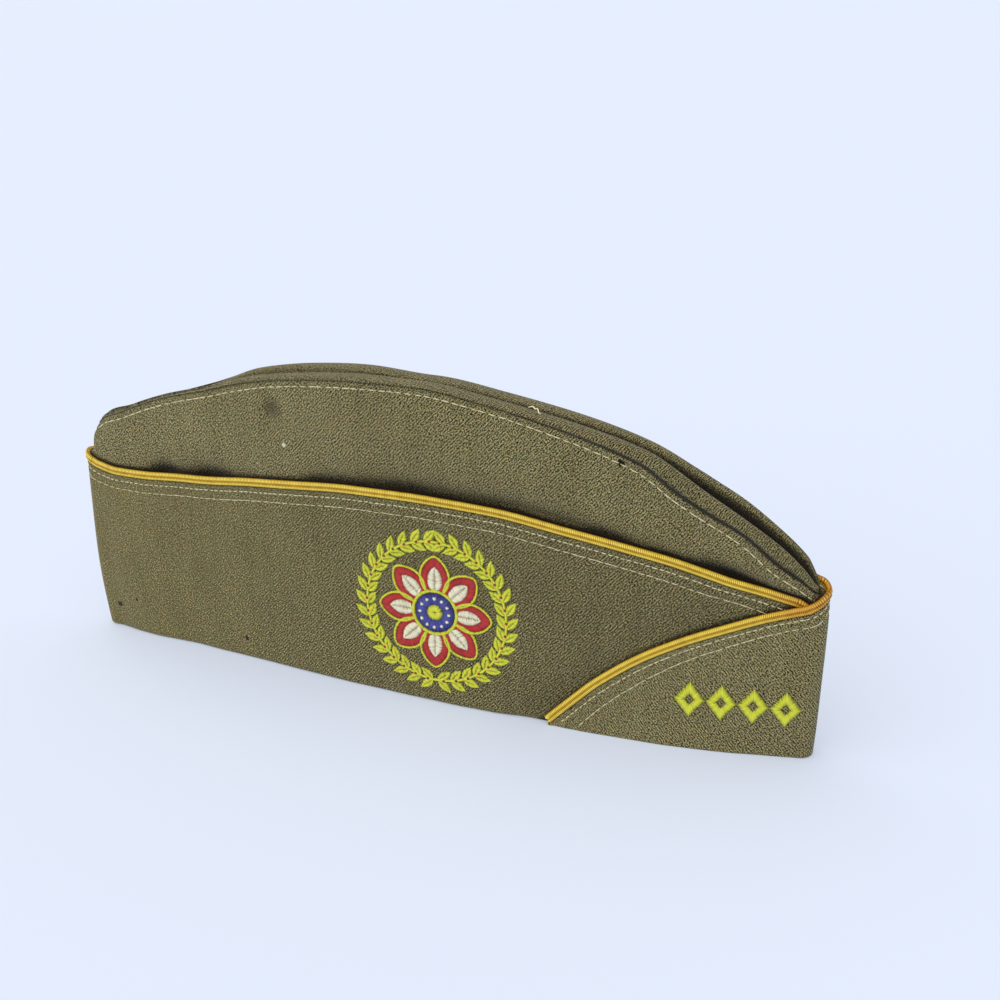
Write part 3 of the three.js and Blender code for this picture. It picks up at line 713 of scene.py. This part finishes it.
def gusset_point(place, across):
    """A point of the gusset's outer face: across runs from -6 at the near seam to 6 at the far seam."""
    place, across = np.broadcast_arrays(place, across)
    row = ROLL_ROWS - np.abs(across)
    side = np.where(across < 0, NEAR, FAR)
    near = seam_height(NEAR, place)
    far = seam_height(FAR, place)
    own = np.where(side == NEAR, near, far)
    half = np.abs(crown_half(NEAR, place, near) + crown_rounding(place))
    base = lerp(own, (near + far) / 2, down_at(row))
    seam = CLEARANCE * (0.25 + 0.75 * smoothstep(place, 0.4, 0.7))
    z = base + seam + ROLL_RISE * rise_at(place) * up_at(row)
    z = z - GROOVE_DEPTH * groove_at(place) * down_at(row)
    return np.stack([crown_x(NEAR, place, own), side * half * out_at(row), z], -1)


GUSSET_COLUMNS = np.linspace(-ROLL_ROWS, ROLL_ROWS, 49)
GROOVE_ROOM = 0.4
THIN_END = 0.2


def groove_shade(place):
    """How dark the gusset is: in its groove, and in the crease along each seam."""
    row = ROLL_ROWS - np.abs(GUSSET_COLUMNS)
    crease = bump(row, 0, 0.3 + 0.3 * smoothstep(place, 0.55, 0.75))
    crease = 1.1 * crease * (0.2 + 0.8 * smoothstep(place, 0.4, 0.66))
    deep = smoothstep(row, 3.7, 5.0) * groove_at(place) * (0.4 + 0.6 * smoothstep(place, 0.35, 0.62))
    return np.maximum(deep, crease)


def gusset_piece(name, material, replaces):
    place = crown_place(turns_between(0, 1)[2:-2])[:, None]
    outer = gusset_point(place, GUSSET_COLUMNS)
    padded = np.pad(outer, ((0, 0), (1, 1), (0, 0)), "edge")
    slope = padded[:, 2:] - padded[:, :-2]
    length = np.hypot(slope[..., 1], slope[..., 2])
    inner = outer.copy()
    half = np.abs(outer[:, :1, 1])
    room = np.maximum(half - CROWN_WALL - CLEARANCE, CLEARANCE / 2)
    wall = CROWN_WALL * np.clip(half / CROWN_WALL - 1, THIN_END, 1)
    limit = room * (GROOVE_ROOM + (1 - GROOVE_ROOM) * np.abs(outer[..., 1]) / half)
    inner[..., 1] = np.clip(outer[..., 1] + wall * slope[..., 2] / length, -limit, limit)
    inner[..., 2] = outer[..., 2] - wall * slope[..., 1] / length
    wall_mesh(name, outer, inner, material, replaces, spot_place(place, outer), groove_shade(place))


def braid_piece(name, panel, turns_low, turns_high, material, replaces):
    """Two round lobes side by side, wound with fine slanting ribs, on the edge of a curtain."""
    coarse = turns_between(turns_low, turns_high)
    line = panel.at(coarse, panel.height(coarse), -CURTAIN_WALL / 2)
    length = length_along(line)
    count = int(length[-1] / (RIB_PITCH / RIB_STEPS))
    travelled = np.linspace(0, length[-1], count)
    turn = np.interp(travelled, length, coarse)
    at = panel.at(turn, panel.height(turn), -CURTAIN_WALL / 2)
    out = unit(panel.at(turn, panel.height(turn), 0) - at)
    up = np.cross(unit(np.gradient(at, axis=0)), out)
    up *= np.where(up[:, 2:] < 0, -1, 1)
    angle = around(BRAID_SIDES)
    along = BRAID_HEIGHT / 2 * -np.cos(angle)
    valley = bump(along, 0, 0.4)
    across = BRAID_THICKNESS / 2 * np.sin(angle) * (1 - 0.45 * valley)
    lobe = np.where(along < 0, -1, 1)
    phase = travelled[:, None] / RIB_PITCH + lobe * RIB_SLANT * (2 * along / BRAID_HEIGHT - lobe / 2)
    rib = np.abs(np.sin(np.pi * phase)) ** 0.7
    middle = lobe * BRAID_HEIGHT / 4
    radial = unit(np.stack([across, along - middle], -1), 1e-3)
    push = RIB_DEPTH * (rib - 1)
    a = across + radial[:, 0] * push + (BRAID_THICKNESS - CURTAIN_WALL) / 2
    b = along + radial[:, 1] * push + BRAID_HEIGHT / 2 + CLEARANCE / 2
    points = (at[:, None] + a[..., None] * out[:, None] + b[..., None] * up[:, None]).reshape(-1, 3)
    faces = tube_faces(points, count, BRAID_SIDES)
    # Painted shade and highlight: darker in the valleys between the ribs, between the two lobes and at the
    # braid's top and bottom edges; lighter on the rib crests.
    tone = (rib**1.5 * (0.2 + 0.8 * np.abs(np.sin(angle)) ** 0.8) * (1 - 0.85 * valley)).ravel()
    worn = np.repeat(smoothstep(at[:, 0], *WORN_FROM_TO), BRAID_SIDES)
    make_mesh(name, points, faces, "gold_braid", material, replaces, tone=tone, worn=worn)


THREAD_SIDES = 6
THREAD_STEPS = 5
LOWEST_STITCH = 1.2


def thread_mesh(name, start, end, normal, slot, material, width, rise, sink=0.06, replaces=()):
    """Stitches: short threads that leave the cloth, bow over it and go in again."""
    count = len(start)
    rise = np.broadcast_to(rise, (count,))
    width = np.broadcast_to(width, (count,))
    side = unit(np.cross(normal, unit(end - start, 1e-6)))
    t = np.linspace(0, 1, THREAD_STEPS)
    bow = np.sin(np.pi * (0.06 + 0.88 * t)) ** 0.55
    angle = around(THREAD_SIDES)
    centre = start[:, None] + (end - start)[:, None] * t[:, None]
    centre = centre + normal[:, None] * (rise[:, None] * bow - sink)[..., None]
    radius = (width[:, None] / 2 * (0.55 + 0.45 * bow))[..., None, None]
    ring = side[:, None, None] * np.cos(angle)[:, None] + normal[:, None, None] * np.sin(angle)[:, None]
    points = (centre[:, :, None] + radius * ring).reshape(-1, 3)
    each = THREAD_STEPS * THREAD_SIDES
    shift = (np.arange(count) * each)[:, None, None]
    ends = np.stack([np.arange(THREAD_SIDES)[::-1], np.arange(each - THREAD_SIDES, each)])
    faces = (ring_faces(THREAD_STEPS, THREAD_SIDES) + shift).reshape(-1, 4).tolist()
    faces += (ends + shift).reshape(-1, THREAD_SIDES).tolist()
    rng = np.random.default_rng(count)
    # For threads this holds a random tone for each stitch, with no painted light.
    tone = np.repeat(rng.uniform(0, 1, count), each)
    run = np.tile(np.repeat(t, THREAD_SIDES), count)
    make_mesh(name, points, faces, slot, material, replaces, tone=tone, run=run)


def stitch_row(name, panel, turns, depth, stitch, material, wander=0.1):
    """A row of running stitches at a depth below the edge of a panel."""
    pitch, share, width = stitch
    z = panel.height(turns) - depth / steepness(panel.outline, panel.height, turns)
    keep = z > LOWEST_STITCH
    turns, z = turns[keep], z[keep]
    line = panel.at(turns, z)
    length = length_along(line)
    rng = np.random.default_rng(len(name))
    count = int(length[-1] / pitch)
    begin = np.arange(count) * pitch + rng.uniform(-0.12, 0.12, count) * pitch
    finish = begin + pitch * share * rng.uniform(0.88, 1.08, count)
    ends = []
    for travelled in (begin, finish):
        height = np.interp(travelled, length, z) + rng.uniform(-wander, wander, count)
        ends.append((np.interp(travelled, length, turns), height))
    start, end = (panel.at(*one) for one in ends)
    normal = panel.normal(*np.mean(ends, axis=0))
    if panel.side:
        normal[:, 1] = panel.side * np.abs(normal[:, 1])
    thread_mesh(name, start, end, normal, "sewing_thread", material, width, 0.2, 0.04)


LOOSE_PLACES = np.array([0.638, 0.641, 0.645, 0.649, 0.652, 0.655, 0.657])
LOOSE_ACROSS = np.array([-2.2, -2.9, -2.6, -3.2, -3.0, -3.6, -3.4])
LOOSE_LIFT = np.array([0.1, 0.7, 1.1, 0.9, 1.2, 0.8, 0.2])


def loose_thread(name, material, sides=8, radius=0.2):
    """A loose end of sewing thread that curls on the near roll."""
    line = gusset_point(LOOSE_PLACES, LOOSE_ACROSS)
    line[:, 2] += LOOSE_LIFT + radius
    fine = np.linspace(0, len(line) - 1, 50)
    line = np.stack([np.interp(fine, np.arange(len(line)), line[:, i]) for i in range(3)], -1)
    for _ in range(6):
        line[1:-1] = (line[:-2] + 2 * line[1:-1] + line[2:]) / 4
    tangent = np.gradient(line, axis=0)
    side = unit(np.cross(tangent, [0.0, 0.0, 1.0]))
    up = unit(np.cross(side, tangent))
    angle = around(sides)
    ring = side[:, None] * np.cos(angle)[:, None] + up[:, None] * np.sin(angle)[:, None]
    points = (line[:, None] + radius * ring).reshape(-1, 3)
    faces = tube_faces(points, len(line), sides)
    run = np.repeat(np.linspace(0.3, 0.7, len(line)), sides)
    make_mesh(name, points, faces, "sewing_thread", material, tone=np.ones_like(run), run=run)


class Embroidery:
    """Satin stitches collected in the plane of the cloth and then laid on a panel."""

    def __init__(self, panel, x, z):
        self.panel, self.x, self.z = panel, x, z
        self.stitches = []

    def add(self, start, end, rise, lift):
        self.stitches.append((start, end, np.full(len(start), rise), np.full(len(start), lift)))

    def between(self, one, other, rise, lift, spacing=0.4, slant=0.0):
        """Stitches from one line to another, a spacing apart along the middle."""
        middle = (one + other) / 2
        length = length_along(middle)
        count = max(int(length[-1] / spacing), 2)
        travelled = np.linspace(0, length[-1], count)
        ahead = np.clip(travelled + slant, 0, length[-1])
        pick = lambda line, at: np.stack([np.interp(at, length, line[:, i]) for i in (0, 1)], -1)
        self.add(pick(one, travelled), pick(other, ahead), rise, lift)

    def leaf(self, base, tip, half, rise, lift):
        """A pointed leaf in two halves, its stitches slanting from the rib to the edge."""
        t = np.linspace(0, 1, 24)[:, None]
        axis = tip - base
        aside = np.array([-axis[1], axis[0]]) / np.hypot(*axis)
        rib = base + axis * t
        width = half * np.sin(np.pi * t**0.85) ** 0.8
        for way in (-1, 1):
            self.between(rib, rib + way * aside * width, rise, lift, slant=0.9)

    def knot(self, x, z, size, lift):
        """A small round knot of crossing stitches."""
        angle = np.linspace(0, np.pi, 4, endpoint=False)
        reach = np.stack([np.cos(angle), np.sin(angle)], -1) * size / 2
        middle = np.array([x, z])
        self.add(middle - reach, middle + reach, size * 0.35, lift)

    def on_cloth(self, points):
        """The places and normals of the panel's near side under points of the embroidery."""
        z = self.z + points[:, 1]
        low, high = along_x(0.0, z), along_x(1.0, z)
        turn = near_turn((self.x + points[:, 0] - low) / (high - low))
        return self.panel.at(turn, z), self.panel.normal(turn, z)

    def make(self, name, slot, material, replaces=(), width=THREAD_WIDTH):
        start, end, rise, lift = (np.concatenate(part) for part in zip(*self.stitches))
        rng = np.random.default_rng(len(start))
        start = start + rng.normal(0, 0.05, start.shape)
        end = end + rng.normal(0, 0.05, end.shape)
        normal = self.on_cloth((start + end) / 2)[1]
        start, end = (self.on_cloth(points)[0] + normal * lift[:, None] for points in (start, end))
        width = width * rng.uniform(0.9, 1.12, len(start))
        thread_mesh(name, start, end, normal, slot, material, width, rise, replaces=replaces)


def ring(radius):
    angle = np.linspace(0, 2 * np.pi, 120)
    return radius * np.stack([np.sin(angle), np.cos(angle)], -1)


def turned(points, angle):
    c, s = np.cos(angle), np.sin(angle)
    return np.stack([points[:, 0] * c + points[:, 1] * s, -points[:, 0] * s + points[:, 1] * c], -1)


PETALS = 8
LEAVES = 17  # on each side of each half of the wreath


def petal_outline(low, high, half, count=60):
    """Half of a petal's outline about the +z axis, from its foot to its tip."""
    t = np.linspace(0, 1, count)
    width = half * np.sin(np.pi * (0.16 + 0.84 * t)) ** 0.62
    return np.stack([width, low + (high - low) * t], -1)


def on_badge():
    return Embroidery(right, BADGE_X, BADGE_HEIGHT)


def badge_wreath(material, berry_material):
    wreath, berries = on_badge(), on_badge()
    branch = (PETAL_RADIUS + BADGE_RADIUS) / 2 + 0.3
    for way in (-1, 1):
        wreath.between(ring(branch - 0.45) * [way, 1], ring(branch + 0.45) * [way, 1], 0.35, 0.1, slant=0.5)
        for i in range(LEAVES):
            angle = way * np.pi * (1 - (i + 0.25) / LEAVES)
            tangent = -way * np.array([np.cos(angle), -np.sin(angle)])
            radial = np.array([np.sin(angle), np.cos(angle)])
            foot = branch * radial
            for aside in (-1, 1):
                reach = 4.7 if aside > 0 else 4.2
                tip = foot + tangent * 4.6 + radial * aside * (reach - 0.35)
                wreath.leaf(foot + radial * aside * 0.3, tip, 1.65, 0.42, 0.05)
            berries.knot(*(foot + tangent * 1.9), 1.1, 0.5)
    wreath.make("wreath_leaves", "yellow_thread", material, replaces=["badge_wreath"])
    berries.make("wreath_berries", "red_thread", berry_material, width=0.4)


def badge_petals(red, cream, yellow):
    body, inner, border = on_badge(), on_badge(), on_badge()
    outline = petal_outline(CENTER_RADIUS + 0.6, PETAL_RADIUS - 0.7, 5.7)
    small = petal_outline(CENTER_RADIUS + 1.2, PETAL_RADIUS - 5.0, 2.9)
    tip = petal_outline(PETAL_RADIUS - 5.2, PETAL_RADIUS - 1.4, 2.6)
    middle = np.array([0, (CENTER_RADIUS + PETAL_RADIUS) / 2])
    outer = middle + (outline - middle) * 1.045 + [0.25, 0]
    inside = middle + (outline - middle) * 0.93 - [0.1, 0]
    rib = [0, 1]
    for i in range(PETALS):
        place = lambda line, way: turned(line * [way, 1], 2 * np.pi * i / PETALS)
        for way in (-1, 1):
            body.between(place(small * [0.85, 1], way), place(outline * [0.97, 1], way), 0.45, 0.05)
            inner.between(place(small * rib, way), place(small, way), 0.5, 0.15, slant=0.5)
            border.between(place(inside, way), place(outer, way), 0.4, 0.3)
        for way in (-1, 1):
            body.between(place(tip * rib, way), place(tip, way), 0.45, 0.05)
    body.make("petal_bodies", "red_thread", red, replaces=["badge_petals"])
    inner.make("petal_hearts", "cream_thread", cream)
    border.make("petal_borders", "yellow_thread", yellow)


def badge_center(blue, cream, yellow):
    disc, knots, heart = on_badge(), on_badge(), on_badge()
    disc.between(ring(CENTER_RADIUS * 0.36), ring(CENTER_RADIUS), 0.55, 0.1, spacing=0.36)
    for i in range(12):
        angle = 2 * np.pi * i / 12
        knots.knot(5.7 * np.sin(angle), 5.7 * np.cos(angle), 1.25, 0.75)
    heart.between(ring(0.3), ring(3.1), 0.5, 0.3, spacing=0.3)
    heart.between(ring(CENTER_RADIUS - 0.1), ring(CENTER_RADIUS + 1.3), 0.5, 0.2)
    disc.make("center_disc", "blue_thread", blue, replaces=["badge_center"])
    knots.make("center_knots", "cream_thread", cream, width=0.45)
    heart.make("center_heart", "yellow_thread", yellow)


def lozenges(material):
    """Hollow lozenges in satin stitch on the lap."""
    to_side = LOZENGE_WIDTH * LOZENGE_HEIGHT / math.hypot(LOZENGE_WIDTH, LOZENGE_HEIGHT) / 2
    hole = 1 - LOZENGE_STROKE / to_side
    corners = np.array([[0, 1], [1, 0], [0, -1], [-1, 0], [0, 1]]) * [LOZENGE_WIDTH / 2, LOZENGE_HEIGHT / 2]
    for number in range(1, LOZENGE_COUNT + 1):
        from_tip = LOZENGE_FROM_TIP + (LOZENGE_COUNT - number) * LOZENGE_PITCH
        shape = Embroidery(left, CAP_LENGTH / 2 - from_tip, LOZENGE_MIDDLE)
        shape.between(corners, corners * hole, 0.65, 0.05, spacing=0.36)
        shape.make(f"satin_lozenge_{number}", "yellow_thread", material, replaces=[f"lozenge_{number}"])


# Materials
def srgb(*values):
    """A colour that was read in display values, as the shader's own."""
    shares = [value / 255 for value in values]
    return (*(c / 12.92 if c <= 0.04045 else ((c + 0.055) / 1.055) ** 2.4 for c in shares), 1.0)


class Shader:
    """A principled material with small helpers to wire its nodes."""

    def __init__(self, name, roughness, **sockets):
        self.material = bpy.data.materials.new(name)
        self.material.use_nodes = True
        self.tree = self.material.node_tree
        self.surface = self.tree.nodes["Principled BSDF"]
        self.surface.inputs["Roughness"].default_value = roughness
        for key, value in sockets.items():
            self.surface.inputs[key.replace("_", " ")].default_value = value

    def node(self, kind, inputs=(), **settings):
        made = self.tree.nodes.new("ShaderNode" + kind)
        for key, value in settings.items():
            setattr(made, key, value)
        for key, value in dict(inputs).items():
            if isinstance(value, bpy.types.NodeSocket):
                self.tree.links.new(value, made.inputs[key])
            else:
                made.inputs[key].default_value = value
        return made

    def attribute(self, name, output="Fac"):
        return self.node("Attribute", attribute_name=name).outputs[output]

    def math(self, operation, a, b=0.0, c=0.0):
        return self.node("Math", {0: a, 1: b, 2: c}, operation=operation).outputs[0]

    def times(self, a, b):
        return self.math("MULTIPLY", a, b)

    def plus(self, a, b):
        return self.math("ADD", a, b)

    def madd(self, a, b, c):
        """a times b, plus c."""
        return self.math("MULTIPLY_ADD", a, b, c)

    def span(self, value, low, high, start, end):
        """A value between low and high, carried over to between start and end."""
        return self.node("MapRange", {0: value, 1: low, 2: high, 3: start, 4: end}).outputs[0]

    def placed(self, vector, angle=0.0, scale=(1, 1, 1)):
        return self.node("Mapping", {"Vector": vector, "Rotation": (0, 0, angle), "Scale": scale}).outputs[0]

    def noise(self, vector, scale, detail=2.0, roughness=0.5):
        inputs = {"Vector": vector, "Scale": scale, "Detail": detail, "Roughness": roughness}
        return self.node("TexNoise", inputs).outputs[0]

    def ramp(self, fac, *stops):
        made = self.node("ValToRGB", {"Fac": fac})
        points = made.color_ramp.elements
        while len(points) < len(stops):
            points.new(0.5)
        for point, (at, colour) in zip(points, stops):
            point.position = at
            point.color = colour
        return made.outputs[0]

    def mix(self, fac, a, b, blend="MIX"):
        return self.node("MixRGB", {0: fac, 1: a, 2: b}, blend_type=blend).outputs[0]

    def dyed(self, a, b):
        return self.mix(1.0, a, b, "MULTIPLY")

    def finish(self, colour, height, strength, distance):
        self.tree.links.new(colour, self.surface.inputs["Base Color"])
        made = self.node("Bump", {"Strength": strength, "Distance": distance, "Height": height})
        self.tree.links.new(made.outputs[0], self.surface.inputs["Normal"])
        return self.material


TWILL_PITCH = 0.95


def serge(name, twill_angle, contrast, light, marks=(), stretch=(0.85, 1.3), ridges=0.1):
    """Wool serge: diagonal ridges of yarn, heathered with pale and dark fibres, in millimetres; with painted
    light that changes along the cap, and painted shade where the shade attribute is set.
    """
    s = Shader(name, 0.9, Specular_IOR_Level=0.2, Sheen_Weight=0.12, Sheen_Roughness=0.5)
    cloth = s.attribute("cloth", "Vector")
    turned_cloth = s.placed(cloth, -math.radians(twill_angle))
    wobble = s.madd(s.noise(cloth, 0.5, 3.0), 1.5, -0.75)
    across = s.node("SeparateXYZ", {0: turned_cloth}).outputs[1]
    across = s.plus(across, wobble)
    ridge = s.math("SINE", s.times(across, 2 * math.pi / TWILL_PITCH))
    ridge = s.madd(ridge, 0.5, 0.5)
    fleck = s.noise(s.placed(turned_cloth, scale=(*stretch, 1)), 1.6, 3.0, 0.85)
    fine = s.noise(cloth, 3.0, 2.0, 0.6)
    streaks = s.noise(s.placed(cloth, scale=(0.25, 0.015, 1)), 1.0, 2.0)
    cloud = s.madd(streaks, 0.5, s.times(s.noise(cloth, 0.05, 4.0, 0.6), 0.5))
    spot = s.attribute("spot", "Vector")
    along = s.madd(s.node("SeparateXYZ", {0: spot}).outputs[0], 1 / CAP_LENGTH, 0.5)
    twill = s.span(along, 0.08, 0.4, 0.15, 1.0)
    twill = s.times(s.plus(ridge, -0.5), twill)
    value = s.madd(twill, ridges, s.madd(fleck, 1.1, s.times(fine, 0.75)))
    stronger = s.madd(along, contrast[1] - contrast[0], contrast[0])
    value = s.madd(s.plus(value, -0.925), stronger, 0.49)
    colour = s.ramp(value, (0.36, DARK_WOOL), (0.5, MID_WOOL), (0.66, PALE_WOOL))
    shade = s.ramp(cloud, (0.3, (0.84, 0.83, 0.8, 1)), (0.7, (1.14, 1.14, 1.12, 1)))
    colour = s.dyed(colour, shade)
    tint = s.ramp(s.noise(cloth, 0.22, 2.0), (0.35, (1.04, 0.985, 0.96, 1)), (0.65, (0.96, 1.01, 1.0, 1)))
    colour = s.dyed(colour, tint)
    # Painted light: the levels given as light set the brightness along the cap from back to front, as each
    # cloth's own level with painted light where the level changes along it.
    painted_light_along = s.ramp(along, *((at, (level, level, level, 1)) for at, level in light))
    colour = s.dyed(colour, painted_light_along)
    # Painted shade: where the shade attribute is set (above the braid, in the gusset's groove and seams, and
    # along the lap's braid), the colour is darkened towards DEEP_SHADE with ragged edges.
    shade = s.attribute("shade")
    ragged = s.madd(s.plus(fleck, -0.5), 1.7, shade)
    ragged = s.madd(s.plus(ridge, -0.5), 0.6, ragged)
    deep = s.span(ragged, 0.3, 0.72, 0.0, 0.94)
    gate = s.span(shade, 0.0, 0.2, 0.0, 1.0)
    colour = s.mix(s.times(deep, gate), colour, DEEP_SHADE)
    rough = s.madd(s.noise(spot, 0.9, 2.0), 1.2, -0.6)
    # Marks given by place: a pale speck, a darker patch, and moth holes whose dark colour is painted shade of
    # the inside seen through them.
    for x, z, radius, softness, tint in marks:
        away = s.node("VectorMath", {0: spot, 1: (x, z, NEAR)}, operation="DISTANCE").outputs["Value"]
        away = s.madd(rough, radius * 0.8, away)
        cover = s.span(away, radius + softness, radius - softness, 0.0, tint[3])
        colour = s.mix(cover, colour, srgb(*tint[:3]))
    height = s.madd(twill, 0.07, s.madd(fleck, 1.1, s.times(fine, 0.4)))
    return s.finish(colour, height, 1.0, 0.00024)


def thread(name, pale, mid, dark, roughness=0.42):
    """Twisted shiny thread, a little different from stitch to stitch, with painted shade that darkens it
    where it goes into the cloth.
    """
    s = Shader(name, roughness, Specular_IOR_Level=0.5, Sheen_Weight=0.15)
    tone = s.attribute("tone")
    run = s.attribute("run")
    # Painted shade: the thread is darker towards both ends of each stitch, where it goes into the cloth.
    ends = s.times(s.math("ABSOLUTE", s.math("SUBTRACT", run, 0.5)), 2.0)
    value = s.madd(tone, 0.5, s.madd(ends, -0.45, 0.5))
    colour = s.ramp(value, (0.0, dark), (0.45, mid), (1.0, pale))
    place = s.node("TexCoord").outputs["Object"]
    height = s.noise(place, 5200, 2.0)
    return s.finish(colour, height, 0.5, 0.00008)


def braid_material():
    """Gold braid: painted highlights on the ribs, and painted shade, brown, in the valleys between them,
    between the lobes and along its edges.
    """
    s = Shader("gold_soutache", 0.42, Specular_IOR_Level=0.25)
    tone = s.attribute("tone")
    place = s.node("TexCoord").outputs["Object"]
    streak = s.noise(place, 420, 3.0)
    value = s.madd(streak, 0.3, s.madd(tone, 1.0, -0.12))
    colour = s.ramp(value, (0.05, srgb(120, 68, 2)), (0.5, srgb(214, 172, 12)), (0.82, srgb(255, 240, 120)))
    brown = s.ramp(value, (0.05, srgb(98, 44, 8)), (0.5, srgb(202, 136, 26)), (0.9, srgb(242, 192, 86)))
    colour = s.mix(s.times(s.attribute("worn"), 0.85), colour, brown)
    return s.finish(colour, s.noise(place, 3500, 2.0), 0.4, 0.00006)


PALE_WOOL = srgb(226, 212, 150)
MID_WOOL = srgb(100, 91, 54)
DARK_WOOL = srgb(18, 14, 7)
DEEP_SHADE = srgb(23, 15, 10)

# Marks of wear, and holes drawn dark with painted shade: place from the middle of the cap, height, radius,
# softness and colour with its cover
# Moth holes in the near curtain, drawn as dark spots: their colour is painted shade, of the dark inside seen
# through each hole.
MOTH_HOLES = (
    (-138, 10.7, 1.2, 0.25, (40, 32, 12, 1.0)), (-128, 15, 0.6, 0.25, (40, 32, 12, 1.0)),
    (-76, 8.5, 0.9, 0.25, (40, 32, 12, 1.0)),
)
# On the crown: a moth hole drawn as a dark spot, whose colour is painted shade of the inside seen through it;
# a pale speck; and a soft darker patch where the crown has a dent.
CROWN_WEAR_AND_PAINTED_SHADE = (
    (75.2, 102.8, 1.2, 0.25, (18, 14, 9, 1.0)), (-53, 92.6, 0.8, 0.25, (214, 208, 182, 1.0)),
    (-58, 105.8, 3.2, 2.2, (52, 46, 30, 0.6)),
)
# The fourth argument gives brightness along the cap: each cloth's own level, and painted light where it
# changes from back to front, strongest at the back end of the right curtain.
curtain_serge = serge("curtain_serge", 47, (0.5, 1.8), ((0, 1.19), (0.35, 0.785), (0.7, 0.6)), MOTH_HOLES)
lap_serge = serge("lap_serge", 47, (2.6, 3.8), ((0, 0.61), (1, 0.61)))
crown_serge = serge("crown_serge", 47, (2.6, 3.6), ((0, 0.7), (0.45, 0.6), (1, 0.59)), CROWN_WEAR_AND_PAINTED_SHADE)
gusset_serge = serge("gusset_serge", 58, (1.6, 4.4), ((0, 0.51), (1, 0.47)), stretch=(0.7, 1.35), ridges=0.16)
gold = braid_material()
pale_thread = thread("pale_thread", srgb(246, 238, 200), srgb(228, 219, 172), srgb(150, 136, 90), 0.6)
yellow = thread("yellow_thread", srgb(232, 232, 70), srgb(206, 210, 34), srgb(120, 122, 12))
red = thread("red_thread", srgb(202, 38, 32), srgb(172, 18, 22), srgb(80, 6, 8))
cream = thread("cream_thread", srgb(250, 246, 224), srgb(238, 230, 196), srgb(170, 158, 118))
blue = thread("blue_thread", srgb(84, 90, 178), srgb(48, 50, 136), srgb(18, 18, 62))


# The pieces
right_turns = turns_between(2.0, HIDDEN_TURN)
left_turns = turns_between(0.0, LAP_END_TURN)
lap_fold = lerp(FOLD, CURTAIN_WALL / 2, smoothstep(left_turns, 0.93, 1.0))
lap_fold = np.minimum(lap_fold, left_height(left_turns) * 0.3)

fold = np.full_like(right_turns, FOLD)
curtain_piece("curtain_right_cloth", right, right_turns, fold, curtain_serge, ["curtain_right"], lap_shade)
curtain_piece("curtain_left_cloth", left, left_turns, lap_fold, lap_serge, ["curtain_left"], no_shade)
crown_side_piece("crown_right_cloth", NEAR, crown_serge, ["crown_side_right"])
crown_side_piece("crown_left_cloth", FAR, crown_serge, ["crown_side_left"])
gusset_piece("crown_top_cloth", gusset_serge, ["crown_top"])
braid_piece("braid_right_gold", right, 2.0, HIDDEN_TURN, gold, ["braid_right"])
braid_piece("braid_left_gold", left, 0.0, LAP_END_TURN, gold, ["braid_left"])

for number, stitch in enumerate(CURTAIN_STITCHES):
    depth = CURTAIN_ROWS[number]
    stitch_row(f"curtain_right_row_{number + 1}", right, right_turns, depth, stitch, pale_thread)
    depth = LAP_ROWS[number](left_turns)
    stitch_row(f"curtain_left_row_{number + 1}", left, left_turns, depth, stitch, pale_thread)
crown_turns = turns_between(0.02, 0.985)
depth = topstitch_row(crown_turns)
for side, word in ((NEAR, "right"), (FAR, "left")):
    name = f"crown_{word}_topstitch"
    stitch_row(name, crown[side], crown_turns, depth, CROWN_STITCH, pale_thread, wander=0.07)

loose_thread("loose_thread", pale_thread)
badge_wreath(yellow, red)
badge_petals(red, cream, yellow)
badge_center(blue, cream, yellow)
lozenges(yellow)


# Floor, light and camera
FLOOR_COLOUR = (0.52, 0.56, 0.655, 1)
FLOOR_GLOW = (0.78, 0.85, 0.98, 1)
FLOOR_GLOW_STRENGTH = 0.3
SKY_COLOUR = (0.93, 0.96, 1.0, 1)
SKY_STRENGTH = 0.58
LAMP_DIRECTION = (0.5, 0.4, -1.0)
LAMP_ANGLE = math.radians(110)  # wide, so that its shadows are soft
LAMP_STRENGTH = 1.95
LAMP_COLOUR = (1.0, 0.985, 0.96)
CAMERA_PLACE = (0.1918, -0.4314, 0.2706)
CAMERA_AZIMUTH = math.radians(20.69)
CAMERA_PITCH = math.radians(22.5)
FOCAL_LENGTH = 50.4


def stage():
    bpy.ops.mesh.primitive_plane_add(size=12)
    floor = bpy.context.object
    floor.name = "floor"
    s = Shader("pale_floor", 0.7, Specular_IOR_Level=0.2)
    s.surface.inputs["Base Color"].default_value = FLOOR_COLOUR
    s.surface.inputs["Emission Color"].default_value = FLOOR_GLOW
    s.surface.inputs["Emission Strength"].default_value = FLOOR_GLOW_STRENGTH
    floor.data.materials.append(s.material)


def aimed(name, data, direction):
    """A camera or lamp that looks in a direction."""
    made = bpy.data.objects.new(name, data)
    made.rotation_euler = Vector(direction).to_track_quat("-Z", "Y").to_euler()
    bpy.context.scene.collection.objects.link(made)
    return made


def camera():
    data = bpy.data.cameras.new("camera")
    data.sensor_width = 36
    data.lens = FOCAL_LENGTH
    level = math.cos(CAMERA_PITCH)
    look = (-math.sin(CAMERA_AZIMUTH) * level, math.cos(CAMERA_AZIMUTH) * level, -math.sin(CAMERA_PITCH))
    made = aimed("camera", data, look)
    made.location = CAMERA_PLACE
    bpy.context.scene.camera = made


def light():
    world = bpy.data.worlds.new("soft_studio")
    world.use_nodes = True
    sky = world.node_tree.nodes["Background"]
    sky.inputs["Color"].default_value = SKY_COLOUR
    sky.inputs["Strength"].default_value = SKY_STRENGTH
    bpy.context.scene.world = world
    data = bpy.data.lights.new("key", "SUN")
    data.angle = LAMP_ANGLE
    data.energy = LAMP_STRENGTH
    data.color = LAMP_COLOUR
    aimed("key", data, LAMP_DIRECTION)
    bpy.context.scene.view_settings.view_transform = "Standard"


stage()
camera()
light()
